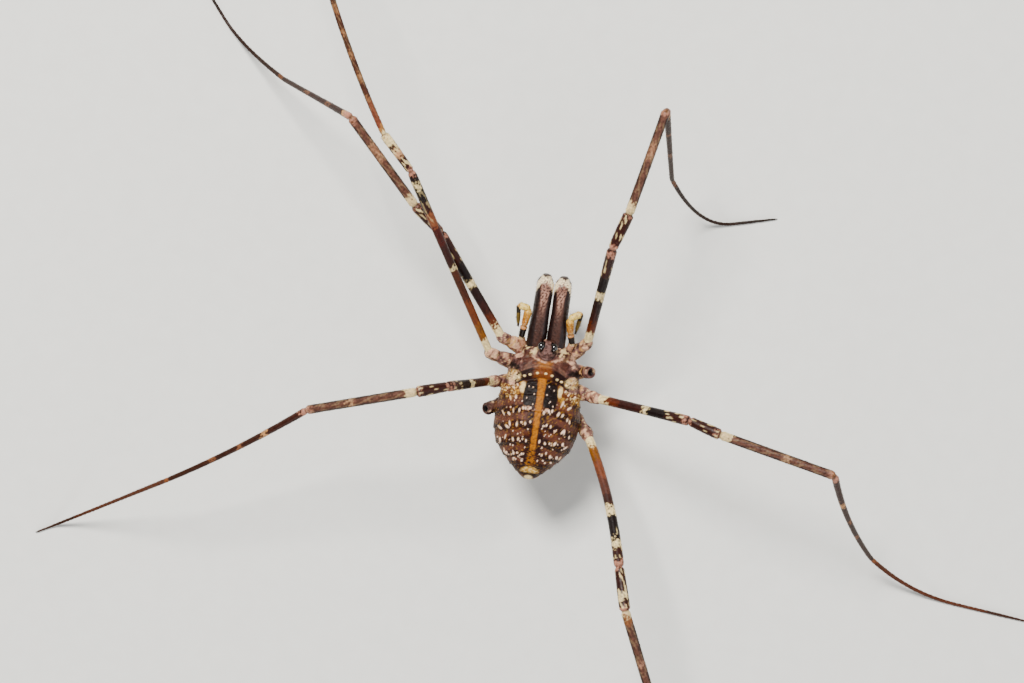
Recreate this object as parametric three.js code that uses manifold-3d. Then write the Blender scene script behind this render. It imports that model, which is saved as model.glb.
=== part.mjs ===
// A long-legged harvestman standing still on six legs, at its real size in millimetres.
// +Z is up and +Y is the way the animal faces. The floor is z = 0.
// It has shed two of its eight legs: the second on the right and the fourth on the left
// end at their trochanters, each with an open socket.
import * as THREE from "three";
import { mergeVertices } from "three/addons/utils/BufferGeometryUtils.js";
import Module from "manifold-3d";

const wasm = await Module();
wasm.setup();

// Driving dimensions of the body, measured from the coxal plane.
const coxalPlane = 6.0;
const waist = 0.38; // y of the joint between the front of the body and the abdomen
const jointGap = 0.15;
const fineGap = 0.08; // round the eyes and the jaws' fingers
const abdomenTip = -5.45;
const abdomenHalfWidth = 2.5;
const abdomenTop = 1.95;
const abdomenBottom = 1.45;
const carapaceFront = 2.75;
const carapaceHalfWidth = 2.08;
const carapaceTop = 1.3;
const carapaceBottom = 0.75;

// Rear edges of the abdomen's plates, from front to tip.
const plateEdges = [-0.5, -1.45, -2.4, -3.35, -4.1, -4.62, -5.02];
const plateStep = 0.06;
const wartRadius = 0.1;
const wartHeight = 0.085;
// Rows of warts, one near the rear edge of each of the first plates.
const wartSetback = 0.22;
const wartInnermost = 0.45;
const wartRows = [
  { outermost: 1.85, count: 3 },
  { outermost: 2.0, count: 4 },
  { outermost: 2.05, count: 4 },
  { outermost: 1.8, count: 3 },
  { outermost: 1.2, count: 2 },
];
// The widest level of the body's cross-sections, as a share of the way from bottom to top.
const widestLevel = 0.4;

// Ellipsoids as semi-axes and a centre above the coxal plane.
const mound = { axes: [0.5, 0.56, 0.62], centre: [0, 2.27, 0.95] };
const tongue = { axes: [0.42, 1.7, 0.24], centre: [0, 0.35, -1.16] };
const eyeRadius = 0.27;
const eyeCentre = [0.37, 2.42, 1.22];

const cheliceraRoot = 2.3;
const cheliceraLength = 3.75;
const cheliceraHalfWidth = 0.5;
const cheliceraHalfGap = 0.03;
const cheliceraLean = -0.14; // the pair stands this far to the left of the middle line
const cheliceraRadii = [[0, 0.55], [0.3, 0.56], [0.6, 0.49], [0.88, 0.5], [1, 0.42]];
const handLength = 3.3;
const handRadii = [[0, 0.42], [0.3, 0.47], [0.65, 0.48], [0.88, 0.41], [1, 0.3]];
const fingerLength = 1.1;
const fingerRadii = [[0, 0.24], [0.6, 0.17], [1, 0.08]];

// Coxa and trochanter in one length, with the groove between them near its outer end.
const coxaRadii = [
  [0, 0.42],
  [0.2, 0.48],
  [0.5, 0.47],
  [0.68, 0.42],
  [0.77, 0.33],
  [0.9, 0.38],
  [1, 0.34],
];
const socketRadius = 0.21;
const socketOut = 0.32; // the open sockets' centres lie this far beyond the ends of the stumps

const palpRadii = {
  coxa: [[0, 0.25], [1, 0.24]],
  femur: [[0, 0.22], [1, 0.25]],
  patella: [[0, 0.22], [0.5, 0.27], [1, 0.29]],
  tibia: [[0, 0.24], [0.6, 0.27], [1, 0.25]],
  tarsus: [[0, 0.22], [0.7, 0.2], [1, 0.08]],
};

// Lengths of the leg segments, for the first to the fourth pair of legs.
const legLengths = [
  { femur: 7.5, patella: 2.3, tibia: 6.4, metatarsus: 8.6 },
  { femur: 12.7, patella: 2.7, tibia: 11.4, metatarsus: 9.2 },
  { femur: 6.4, patella: 2.05, tibia: 7.0, metatarsus: 10.2 },
  { femur: 8.8, patella: 2.6, tibia: 7.9, metatarsus: 10.8 },
];

// Radius along each segment, as [share of the length, radius].
const legRadii = {
  femur: [[0, 0.25], [0.06, 0.27], [0.5, 0.27], [0.88, 0.31], [1, 0.3]],
  patella: [[0, 0.26], [0.15, 0.29], [0.8, 0.34], [1, 0.31]],
  tibia: [[0, 0.25], [0.08, 0.27], [0.9, 0.27], [1, 0.27]],
  metatarsus: [[0, 0.23], [0.1, 0.25], [1, 0.25]],
  tarsus: [[0, 0.22], [0.08, 0.24], [0.5, 0.22], [0.85, 0.17], [1, 0.09]],
};
const secondLegSlimness = 0.93;
const footRest = 0.1; // height of the middle of the foot where it lies on the floor

// The pose. Headings are degrees clockwise from +Y and climbs are degrees above the horizon.
// bow is how far the middle of a segment stands to the right of a straight line.
// tarsus: its first direction, the heading in which it lies on the floor, the length over which
// it bends down to the floor, and the length that lies flat.
const legs = {
  left_1: {
    pair: 0,
    hip: [-2.75, 2.59, 6.2],
    femur: [-38.7, 20],
    patella: [-52, 17],
    tibia: [-44.5, 14],
    metatarsus: [-67, -55],
    tarsus: { start: [-60, -48], lies: -40, bend: 2.0, flat: 2.5 },
  },
  right_1: {
    pair: 0,
    hip: [2.28, 3.0, 6.2],
    femur: [5.6, 41.5],
    patella: [16.7, 12],
    tibia: [11.2, 12],
    metatarsus: [163, -64],
    tarsus: { start: [140, -58], lies: 75, bend: 2.2, flat: 2.5 },
  },
  left_2: {
    pair: 1,
    hip: [-3.31, 1.57, 6.2],
    femur: [-31.8, 26],
    patella: [-44.8, 15],
    tibia: [-27.8, 12],
    tibiaBow: -0.25,
    metatarsus: [-30, -42],
    tarsus: { start: [-32, -50], lies: -55, bend: 3.0, flat: 3.5 },
  },
  left_3: {
    pair: 2,
    hip: [-2.96, -0.04, 6.2],
    femur: [-104.7, 67],
    patella: [-108, 28],
    tibia: [-108, -22],
    metatarsus: [-125, -25],
    metatarsusBow: -0.15,
    tarsus: { start: [-120.5, -40], lies: -119, bend: 1.0, flat: 0.8 },
  },
  right_3: {
    pair: 2,
    hip: [3.32, -0.14, 6.2],
    femur: [95, 31],
    patella: [105.8, 20],
    tibia: [101.3, 4],
    metatarsus: [143.4, -55],
    metatarsusBow: 0.3,
    tarsus: { start: [124, -35], lies: 95, bend: 3.0, flat: 4.5 },
  },
  right_4: {
    pair: 3,
    hip: [3.12, -2.4, 6.0],
    femur: [158.5, 29],
    femurBow: -0.28,
    patella: [163.9, 13],
    tibia: [154.7, -12],
    metatarsus: [157, -38],
    tarsus: { start: [150, -32], lies: 135, bend: 3.0, flat: 3.5 },
  },
};

// The two legs that are gone: where their trochanters end.
const stumps = {
  right_2: { pair: 1, hip: [2.62, 1.3, 6.3] },
  left_4: { pair: 3, hip: [-2.92, -1.62, 5.9] },
};

// Where each pair of coxae starts under the body, and where it leaves the body's side.
const coxaRoots = [
  { inner: [0.78, 1.9, 5.05], outer: [1.75, 2.3, 5.5] },
  { inner: [0.85, 1.1, 4.95], outer: [2.1, 1.25, 5.35] },
  { inner: [0.85, 0.28, 4.95], outer: [2.15, 0.05, 5.35] },
  { inner: [0.85, -0.5, 4.95], outer: [2.15, -1.25, 5.15] },
];

const colours = {
  plate: 0x4a2416,
  carapace: 0x8a6650,
  coxa: 0xa98a72,
  femur: 0x3c1c12,
  patella: 0x5a3626,
  tibia: 0x6e4a3c,
  foot: 0x5c3620,
  eye: 0x0c0807,
  chelicera: 0x523430,
  palpFemur: 0x2a1410,
  palpPatella: 0xc98a3c,
  palpTibia: 0xd9a860,
  palpTarsus: 0x6a4a20,
};
const finish = (colour, roughness = 0.5) =>
  new THREE.MeshStandardMaterial({ color: colour, roughness, metalness: 0 });

const vec = (point) => new THREE.Vector3(...point);

// A geometry as a solid for joining and cutting.
function solidOf(geometry) {
  const bare = new THREE.BufferGeometry();
  bare.setAttribute("position", geometry.getAttribute("position"));
  bare.setIndex(geometry.index);
  const merged = mergeVertices(bare, 1e-4);
  return new wasm.Manifold(
    new wasm.Mesh({
      numProp: 3,
      vertProperties: new Float32Array(merged.attributes.position.array),
      triVerts: new Uint32Array(merged.index.array),
    }),
  );
}

// The largest closed body of a solid.
function largest(solid) {
  const bodies = solid.decompose();
  return bodies.reduce((best, body) => (body.volume() > best.volume() ? body : best));
}

const model = new THREE.Group();
model.name = "harvestman";

// Adds a solid to the model as a named mesh.
function addPart(name, solid, material) {
  const { vertProperties, triVerts } = largest(solid).getMesh();
  const geometry = new THREE.BufferGeometry();
  geometry.setAttribute("position", new THREE.BufferAttribute(vertProperties, 3));
  geometry.setIndex(new THREE.BufferAttribute(triVerts, 1));
  geometry.computeVertexNormals();
  const mesh = new THREE.Mesh(geometry, material);
  mesh.name = name;
  model.add(mesh);
}

// A unit direction from a heading and a climb in degrees.
function direction([heading, climb]) {
  const turn = THREE.MathUtils.degToRad(heading);
  const rise = THREE.MathUtils.degToRad(climb);
  return new THREE.Vector3(
    Math.sin(turn) * Math.cos(rise),
    Math.cos(turn) * Math.cos(rise),
    Math.sin(rise),
  );
}

// The radius at a share of the length, from [share, radius] stations.
function radiusAt(stations, share) {
  const next = stations.findIndex(([s]) => s >= share);
  if (next <= 0) return stations[Math.max(next, 0)][1];
  const [s0, r0] = stations[next - 1];
  const [s1, r1] = stations[next];
  return r0 + ((r1 - r0) * (share - s0)) / (s1 - s0);
}

// A tapering tube along a curve, flat at its start and round at its end.
// grow makes it larger all over, as a tool that leaves a gap round the piece.
function tube(curve, radii, { sides = 10, rings = 8, grow = 0, wide = 1, up = [0, 0, 1] } = {}) {
  const length = curve.getLength();
  const profile = [new THREE.Vector2(0, -grow)];
  profile.push(new THREE.Vector2(radiusAt(radii, 0) + grow, -grow));
  for (let i = grow > 0 ? 0 : 1; i <= rings; i++) {
    const share = i / rings;
    profile.push(new THREE.Vector2(radiusAt(radii, share) + grow, share * length));
  }
  const endRadius = radiusAt(radii, 1) + grow;
  for (const angle of [Math.PI / 6, Math.PI / 3]) {
    profile.push(
      new THREE.Vector2(endRadius * Math.cos(angle), length + endRadius * Math.sin(angle)),
    );
  }
  profile.push(new THREE.Vector2(0, length + endRadius));
  const geometry = new THREE.LatheGeometry(profile, sides, Math.PI / sides);
  layAlong(geometry, curve, length, wide, vec(up));
  return geometry;
}

// Bends a geometry that stands along +Y so that it follows a curve.
function layAlong(geometry, curve, length, wide, up) {
  const position = geometry.getAttribute("position");
  const vertex = new THREE.Vector3();
  for (let i = 0; i < position.count; i++) {
    vertex.fromBufferAttribute(position, i);
    const along = THREE.MathUtils.clamp(vertex.y / length, 0, 1);
    const tangent = curve.getTangentAt(along);
    const side = tangent.clone().cross(up).normalize();
    const over = side.clone().cross(tangent);
    const point = curve.getPointAt(along);
    point.addScaledVector(tangent, vertex.y - along * length);
    point.addScaledVector(side, vertex.x * wide);
    point.addScaledVector(over, vertex.z);
    position.setXYZ(i, point.x, point.y, point.z);
  }
}

// A sphere moulded along Y. Each station is [y, half width, top, bottom], from front to back,
// with the heights measured from the coxal plane.
function mouldedBody(stations, { around = 40, along = 30, grow = 0, edges = [] } = {}) {
  const upper = new THREE.CatmullRomCurve3(stations.map(([y, w, top]) => vec([w, y, top])));
  const lower = new THREE.CatmullRomCurve3(stations.map(([y, w, , low]) => vec([w, y, low])));
  const geometry = new THREE.SphereGeometry(1, around, along);
  const position = geometry.getAttribute("position");
  const middle = (stations[0][0] + stations.at(-1)[0]) / 2;
  const stretch = 1 + (2 * grow) / Math.abs(stations[0][0] - stations.at(-1)[0]);
  for (let i = 0; i < position.count; i++) {
    const share = Math.acos(THREE.MathUtils.clamp(position.getY(i), -1, 1)) / Math.PI;
    const angle = Math.atan2(position.getZ(i), position.getX(i));
    const top = upper.getPoint(share);
    const low = lower.getPoint(share);
    const ends = share < 1e-4 || share > 1 - 1e-4;
    const swell = ends ? 0 : grow + plateRise(top.y, edges, top.z - low.z);
    const halfWidth = ends ? 0 : Math.max(top.x, 0) + swell;
    const centre = THREE.MathUtils.lerp(low.z, top.z, widestLevel);
    const reach = Math.sin(angle) > 0 ? top.z - centre : centre - low.z;
    position.setXYZ(
      i,
      halfWidth * Math.cos(angle),
      middle + (top.y - middle) * stretch,
      coxalPlane + centre + (ends ? 0 : reach + swell) * Math.sin(angle),
    );
  }
  return geometry;
}

// How far a plate stands up at y: it rises towards its rear edge and drops to the next plate.
function plateRise(y, edges, thickness) {
  let front = waist;
  for (const rear of edges) {
    if (y > rear) {
      const share = THREE.MathUtils.clamp((front - y) / (front - rear), 0, 1);
      return plateStep * share * Math.min(1, thickness / 2);
    }
    front = rear;
  }
  return 0;
}

const abdomenStations = [
  [1.1, 0, 0.3, 0.1],
  [0.9, 1.2, 1.0, -0.6],
  [0.3, 2.1, 1.36, -0.85],
  [-0.7, 2.38, 1.72, -1.1],
  [-2.0, abdomenHalfWidth, abdomenTop, -abdomenBottom],
  [-3.3, 2.26, 1.7, -1.35],
  [-4.2, 1.6, 1.25, -1.0],
  [-4.95, 0.85, 0.75, -0.6],
  [-5.35, 0.38, 0.4, -0.2],
  [abdomenTip, 0, 0.1, 0.1],
];
const carapaceStations = [
  [carapaceFront, 0, 0.15, 0.1],
  [2.7, 0.75, 0.4, -0.25],
  [2.4, 1.3, 0.75, -0.5],
  [1.8, 1.8, 1.02, -carapaceBottom],
  [1.05, carapaceHalfWidth, 1.24, -carapaceBottom],
  [0.3, 2.08, carapaceTop, -carapaceBottom],
  [-0.2, 1.6, 1.0, -0.5],
  [-0.4, 0, 0.2, 0.1],
];
const carapaceShape = (grow) =>
  solidOf(mouldedBody(carapaceStations, { around: 24, along: 14, grow }));

// The half space in front of or behind the waist.
function sideOfWaist(front) {
  const size = 30;
  const box = new THREE.BoxGeometry(size, size, size);
  box.translate(0, waist + ((front ? 1 : -1) * (size - jointGap)) / 2, coxalPlane);
  return solidOf(box);
}

// The point across the middle line for a right-hand piece.
const mirrored = ([x, y, z], left) => vec([left ? -x : x, y, z]);

// Coxa and trochanter of one leg: a tube from under the body to the hip.
function coxa(name, { pair, hip }, grow) {
  const left = name.startsWith("left");
  const { inner, outer } = coxaRoots[pair];
  const curve = new THREE.QuadraticBezierCurve3(
    mirrored(inner, left),
    mirrored(outer, left),
    vec(hip),
  );
  return solidOf(tube(curve, coxaRadii, { sides: 10, rings: 9, grow }));
}

const hips = { ...legs, ...stumps };
const coxaNames = Object.keys(hips).sort();
const coxaTools = Object.fromEntries(
  coxaNames.map((name) => [name, coxa(name, hips[name], jointGap)]),
);

function addCoxae() {
  coxaNames.forEach((name, i) => {
    let solid = coxa(name, hips[name], 0);
    for (const earlier of coxaNames.slice(0, i)) solid = solid.subtract(coxaTools[earlier]);
    if (stumps[name]) {
      const socket = new THREE.SphereGeometry(socketRadius, 10, 6);
      const { pair, hip } = stumps[name];
      const outward = vec(hip).sub(mirrored(coxaRoots[pair].outer, name.startsWith("left")));
      const centre = vec(hip).addScaledVector(outward.normalize(), socketOut);
      socket.translate(...centre);
      solid = solid.subtract(solidOf(socket));
    }
    addPart(`coxa_${name}`, solid, finish(colours.coxa, 0.6));
  });
}

// A low oval wart on a surface, sunk half into it.
function wart(x, y, surface) {
  const bump = new THREE.SphereGeometry(1, 6, 4);
  bump.rotateX(Math.PI / 2);
  bump.scale(wartRadius, wartRadius * 1.5, wartHeight * 2);
  bump.translate(x, y, surface);
  return solidOf(bump);
}

// The height of the abdomen's upper surface at a point, found on its own stations.
function abdomenHeight(x, y) {
  const curve = new THREE.CatmullRomCurve3(
    abdomenStations.map(([sy, w, top]) => vec([w, sy, top])),
  );
  const lower = new THREE.CatmullRomCurve3(
    abdomenStations.map(([sy, w, , low]) => vec([w, sy, low])),
  );
  let low = 0;
  let high = 1;
  for (let i = 0; i < 24; i++) {
    const middle = (low + high) / 2;
    if (curve.getPoint(middle).y > y) low = middle;
    else high = middle;
  }
  const top = curve.getPoint(low);
  const base = lower.getPoint(low);
  const centre = THREE.MathUtils.lerp(base.z, top.z, widestLevel);
  const across = THREE.MathUtils.clamp(x / top.x, -1, 1);
  return coxalPlane + centre + (top.z - centre) * Math.sqrt(1 - across * across);
}

// A closed egg shape, grown all over by grow.
function ellipsoid({ axes, centre }, grow = 0) {
  const ball = new THREE.SphereGeometry(1, 12, 8);
  ball.scale(...axes.map((axis) => axis + grow));
  ball.translate(centre[0], centre[1], coxalPlane + centre[2]);
  return solidOf(ball);
}

function addAbdomen() {
  let solid = solidOf(
    mouldedBody(abdomenStations, { around: 28, along: 28, edges: plateEdges }),
  );
  const warts = [];
  wartRows.forEach(({ outermost, count }, row) => {
    const y = plateEdges[row] + wartSetback;
    for (let i = 0; i < count; i++) {
      const x = THREE.MathUtils.lerp(wartInnermost, outermost, i / (count - 1));
      for (const side of [-1, 1]) warts.push(wart(side * x, y, abdomenHeight(x, y)));
    }
  });
  solid = solid.subtract(sideOfWaist(true)).add(ellipsoid(tongue)); // the tongue lies between the coxae
  solid = warts.reduce((whole, piece) => whole.add(piece), solid);
  for (const name of coxaNames) solid = solid.subtract(coxaTools[name]);
  addPart("abdomen", solid, finish(colours.plate, 0.45));
}

function eye(side, grow) {
  const [x, y, z] = eyeCentre;
  return ellipsoid({ axes: Array(3).fill(eyeRadius), centre: [side * x, y, z] }, grow);
}

function addFrontOfBody() {
  let carapace = carapaceShape(0).subtract(sideOfWaist(false));
  for (const name of coxaNames) carapace = carapace.subtract(coxaTools[name]);
  addPart("carapace", carapace, finish(colours.carapace, 0.6));
  let raised = ellipsoid(mound).subtract(carapaceShape(jointGap));
  for (const side of [-1, 1]) {
    const sideName = side < 0 ? "left" : "right";
    raised = raised.subtract(eye(side, fineGap));
    addPart(`eye_${sideName}`, eye(side, 0), finish(colours.eye, 0.1));
  }
  addPart("eye_mound", raised, finish(colours.carapace, 0.6));
}

// A jaw: its basal length reaches forward, and its hand hangs down with two fingers.
function addChelicera(sideName, side) {
  const x = cheliceraLean + side * (cheliceraHalfWidth + cheliceraHalfGap);
  const root = vec([x + side * 0.06, cheliceraRoot, coxalPlane + 0.02]);
  const elbow = vec([x, cheliceraRoot + cheliceraLength, coxalPlane + 0.85]);
  const bulge = vec([x + side * 0.06, 4.1, coxalPlane + 0.52]);
  const baseCurve = new THREE.QuadraticBezierCurve3(root, bulge, elbow);
  const basal = (grow) =>
    solidOf(tube(baseCurve, cheliceraRadii, { sides: 12, rings: 7, grow, wide: 0.98 }));
  addPart(
    `chelicera_${sideName}_base`,
    basal(0).subtract(carapaceShape(jointGap)).subtract(ellipsoid(mound, jointGap)),
    finish(colours.chelicera, 0.4),
  );

  const wrist = vec([x + side * 0.05, elbow.y - 0.35, elbow.z - handLength]);
  const handCurve = new THREE.QuadraticBezierCurve3(
    elbow.clone().add(vec([0, 0.02, 0])),
    vec([x + side * 0.08, elbow.y + 0.3, elbow.z - handLength / 2]),
    wrist,
  );
  const fingerTip = wrist.clone().add(vec([0, -0.12, -fingerLength]));
  const forward = [0, 1, 0];
  const fixedFinger = new THREE.QuadraticBezierCurve3(
    wrist.clone().add(vec([0, 0.1, 0.25])),
    wrist.clone().add(vec([0, 0.2, -0.45])),
    fingerTip,
  );
  const hand = (grow) =>
    solidOf(tube(handCurve, handRadii, { sides: 12, rings: 5, grow, up: forward })).add(
      solidOf(tube(fixedFinger, fingerRadii, { sides: 8, rings: 4, grow, up: forward })),
    );
  addPart(
    `chelicera_${sideName}_hand`,
    hand(0).subtract(basal(jointGap)),
    finish(colours.chelicera, 0.4),
  );

  const movingFinger = new THREE.QuadraticBezierCurve3(
    wrist.clone().add(vec([0, -0.1, 0.1])),
    wrist.clone().add(vec([0, -0.8, -0.35])),
    fingerTip.clone().add(vec([0, -0.2, 0])),
  );
  addPart(
    `chelicera_${sideName}_finger`,
    solidOf(
      tube(movingFinger, fingerRadii, { sides: 8, rings: 4, up: forward }),
    ).subtract(hand(fineGap)),
    finish(colours.chelicera, 0.4),
  );
  return { basal: basal(jointGap), hand: hand(jointGap) };
}

// Builds pieces in a row, each cut clear of the piece before it.
function addChain(pieces, firstTool) {
  let tool = firstTool;
  for (const { name, shape, material, clear = [] } of pieces) {
    let solid = shape(0);
    if (tool) solid = solid.subtract(tool);
    for (const other of clear) solid = solid.subtract(other);
    addPart(name, solid, material);
    tool = shape(jointGap);
  }
}

// The feelers beside the jaws, as points from the mouth to the claw.
const palps = {
  left: {
    root: [-1.1, 1.7, 5.6],
    joints: [[-1.62, 2.75, 6.15], [-1.55, 3.5, 6.7], [-1.42, 4.5, 7.3], [-2.05, 4.6, 7.2]],
    tip: [-1.9, 3.4, 6.1],
  },
  right: {
    root: [1.0, 1.75, 5.6],
    joints: [[1.4, 2.8, 6.15], [1.2, 3.4, 6.7], [1.05, 4.25, 7.3], [1.68, 4.65, 7.2]],
    tip: [1.5, 3.45, 6.1],
  },
};

function addPalp(sideName, jaws) {
  const { root, joints, tip } = palps[sideName];
  const [hip, femurEnd, patellaEnd, tibiaEnd] = joints.map(vec);
  const side = sideName === "left" ? -1 : 1;
  const rod = (from, to, radii, swing = [0, 0, 0]) => {
    const middle = from.clone().add(to).multiplyScalar(0.5).add(vec(swing));
    const curve = new THREE.QuadraticBezierCurve3(from, middle, to);
    return (grow) => solidOf(tube(curve, radii, { sides: 8, rings: 4, grow }));
  };
  const clear = [carapaceShape(jointGap), jaws.basal];
  for (const name of coxaNames) clear.push(coxaTools[name]);
  const femur = [
    rod(vec(root), hip, palpRadii.coxa),
    rod(hip, femurEnd, palpRadii.femur),
  ];
  addChain([
    {
      name: `palp_${sideName}_femur`,
      shape: (grow) => femur[0](grow).add(femur[1](grow)),
      material: finish(colours.palpFemur, 0.5),
      clear,
    },
    {
      name: `palp_${sideName}_patella`,
      shape: rod(femurEnd, patellaEnd, palpRadii.patella, [side * 0.05, 0, 0.08]),
      material: finish(colours.palpPatella, 0.5),
      clear,
    },
    {
      name: `palp_${sideName}_tibia`,
      shape: rod(patellaEnd, tibiaEnd, palpRadii.tibia),
      material: finish(colours.palpTibia, 0.5),
      clear,
    },
    {
      name: `palp_${sideName}_tarsus`,
      shape: rod(tibiaEnd, vec(tip), palpRadii.tarsus, [0, 0.15, 0]),
      material: finish(colours.palpTarsus, 0.5),
      clear,
    },
  ]);
}

// The path of a leg segment, bowed sideways.
function segmentCurve(from, [heading, climb], length, bow = 0) {
  const along = direction([heading, climb]);
  const side = direction([heading + 90, 0]);
  const middle = from.clone().addScaledVector(along, length / 2).addScaledVector(side, 2 * bow);
  const to = from.clone().addScaledVector(along, length);
  return new THREE.QuadraticBezierCurve3(from, middle, to);
}

// The foot's path: down along its first direction, round to the floor, and flat along it.
function tarsusCurve(from, { start, lies, bend, flat }) {
  const down = direction(start);
  const corner = from.clone().addScaledVector(down, (from.z - footRest) / -down.z);
  const lying = direction([lies, 0]);
  const landing = corner.clone().addScaledVector(lying, bend);
  const path = new THREE.CurvePath();
  path.add(new THREE.QuadraticBezierCurve3(from, corner, landing));
  path.add(new THREE.LineCurve3(landing, landing.clone().addScaledVector(lying, flat)));
  return path;
}

// Presses whatever is below the floor flat against it, as the sole of the foot.
function pressSole(geometry) {
  const position = geometry.getAttribute("position");
  for (let i = 0; i < position.count; i++) {
    if (position.getZ(i) < 0) position.setZ(i, 0);
  }
  return geometry;
}

function addLeg(name, leg) {
  const lengths = legLengths[leg.pair];
  const slim = leg.pair === 1 ? secondLegSlimness : 1;
  const materials = {
    femur: finish(colours.femur, 0.35),
    patella: finish(colours.patella, 0.5),
    tibia: finish(colours.tibia, 0.45),
    metatarsus: finish(colours.foot, 0.5),
  };
  let from = vec(leg.hip);
  const pieces = [];
  for (const segment of ["femur", "patella", "tibia", "metatarsus"]) {
    const curve = segmentCurve(from, leg[segment], lengths[segment], leg[`${segment}Bow`]);
    const radii = legRadii[segment].map(([share, radius]) => [share, radius * slim]);
    const rings = segment === "patella" ? 4 : 5;
    pieces.push({
      name: `leg_${name}_${segment}`,
      shape: (grow) => solidOf(tube(curve, radii, { sides: 8, rings, grow })),
      material: materials[segment],
    });
    from = curve.getPointAt(1);
  }
  const foot = tarsusCurve(from, leg.tarsus);
  pieces.push({
    name: `leg_${name}_tarsus`,
    shape: (grow) =>
      solidOf(pressSole(tube(foot, legRadii.tarsus, { sides: 6, rings: 16, grow }))),
    material: finish(colours.foot, 0.5),
  });
  addChain(pieces, coxaTools[name]);
}

addAbdomen();
addFrontOfBody();
addCoxae();
const leftJaws = addChelicera("left", -1);
const rightJaws = addChelicera("right", 1);
addPalp("left", leftJaws);
addPalp("right", rightJaws);
for (const [name, leg] of Object.entries(legs)) addLeg(name, leg);

// The origin is on the floor, under the middle of the model's box.
const box = new THREE.Box3().setFromObject(model);
const middle = box.getCenter(new THREE.Vector3());
model.position.set(-middle.x, -middle.y, 0);

export default model;
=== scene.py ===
import math

import bpy
import numpy as np
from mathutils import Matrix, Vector


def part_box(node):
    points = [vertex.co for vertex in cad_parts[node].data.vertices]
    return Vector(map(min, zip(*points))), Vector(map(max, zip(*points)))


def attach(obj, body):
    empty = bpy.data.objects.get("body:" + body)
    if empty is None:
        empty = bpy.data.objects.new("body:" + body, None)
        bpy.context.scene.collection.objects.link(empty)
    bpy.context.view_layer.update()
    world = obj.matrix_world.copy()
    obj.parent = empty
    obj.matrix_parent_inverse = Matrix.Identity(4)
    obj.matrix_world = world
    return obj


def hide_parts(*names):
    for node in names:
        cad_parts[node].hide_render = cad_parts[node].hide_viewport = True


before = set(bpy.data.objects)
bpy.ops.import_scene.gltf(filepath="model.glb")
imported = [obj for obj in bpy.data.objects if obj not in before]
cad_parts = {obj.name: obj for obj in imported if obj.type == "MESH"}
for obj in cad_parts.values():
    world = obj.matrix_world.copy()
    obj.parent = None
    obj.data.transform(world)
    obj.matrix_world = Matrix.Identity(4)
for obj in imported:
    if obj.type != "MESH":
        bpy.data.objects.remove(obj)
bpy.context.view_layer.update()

mm = 0.001
rng = np.random.default_rng(7)
eyeLow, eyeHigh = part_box("eye_left")
eyeMiddle = (eyeLow + eyeHigh) / 2
# The body's own origin on the floor; its sizes below are millimetres from here
bodyAt = np.array([eyeMiddle.x / mm + 0.37, eyeMiddle.y / mm - 2.42, 0.0])
coxalPlane = 6.0                               # height of the legs' roots
lift = np.array([0, 0, coxalPlane])


# Helpers

def deselectAll():
    bpy.ops.object.select_all(action="DESELECT")


def use(piece):
    deselectAll()
    piece.select_set(True)
    bpy.context.view_layer.objects.active = piece


def coords(piece, what="co"):
    rows = np.empty(len(piece.data.vertices) * 3)
    piece.data.vertices.foreach_get(what, rows)
    return rows.reshape(-1, 3)


def normals(piece):
    return coords(piece, "normal")


def bodyCoords(piece):
    return coords(piece) / mm - bodyAt


def setBodyCoords(piece, points):
    piece.data.vertices.foreach_set("co", ((points + bodyAt) * mm).ravel())
    piece.data.update()


# Moves each point out along its normal, or in where lump is below 0
def swell(piece, lump):
    setBodyCoords(piece, bodyCoords(piece) + normals(piece) * lump[:, None])


def keepOffFloor(piece):
    points = bodyCoords(piece)
    points[:, 2] = np.maximum(points[:, 2], 0.0)
    setBodyCoords(piece, points)


def newBall(name, segments, rings):
    deselectAll()
    bpy.ops.mesh.primitive_uv_sphere_add(segments=segments, ring_count=rings, radius=1)
    piece = bpy.context.object
    piece.name = name
    return piece


def cleanUp(piece, reach=0.002):
    use(piece)
    bpy.ops.object.mode_set(mode="EDIT")
    bpy.ops.mesh.select_all(action="SELECT")
    bpy.ops.mesh.remove_doubles(threshold=reach * mm)
    bpy.ops.mesh.normals_make_consistent(inside=False)
    bpy.ops.object.mode_set(mode="OBJECT")


def linear(hexColour):
    value = np.array([int(hexColour[i:i + 2], 16) for i in (1, 3, 5)]) / 255
    value = np.where(value <= 0.04045, value / 12.92, ((value + 0.055) / 1.055) ** 2.4)
    return value ** 1.3                     # the surface is deeper than its sunlit look


def linearAll(hexColours):
    return {name: linear(value) for name, value in hexColours.items()}


def mix(a, b, share):
    share = np.clip(share, 0, 1)[:, None]
    return a * (1 - share) + b * share


# Lays named tones over a colour one after another, each by its share
def wash(colour, tint, **shares):
    for tone, share in shares.items():
        colour = mix(colour, tint[tone], share)
    return colour


def smooth(low, high, value):
    t = np.clip((value - low) / (high - low), 0, 1)
    return t * t * (3 - 2 * t)


# 1 on a line, 0 beside it
def ridge(distance, width):
    return np.exp(-(distance / width) ** 2)


# 1 inside an oval of u, v, 0 outside, soft at its rim; square makes it boxy
def blob(u, v, sharp=0.35, square=2):
    reach = (np.abs(u) ** square + np.abs(v) ** square) ** (1 / square)
    return 1 - smooth(1 - sharp, 1 + sharp, reach)


# A smooth random number from -1 to 1 at each point
def ripple(points, period, seed):
    dice = np.random.default_rng(seed)
    total = np.zeros(len(points))
    for _ in range(9):
        way = dice.normal(size=3)
        way *= 2 * math.pi / period / np.linalg.norm(way) * dice.uniform(0.7, 1.6)
        total += np.sin(points @ way + dice.uniform(0, 7))
    return np.clip(total / 4, -1, 1)


def ripples(points, *kinds):
    return [ripple(points, period, seed) for period, seed in kinds]


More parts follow.
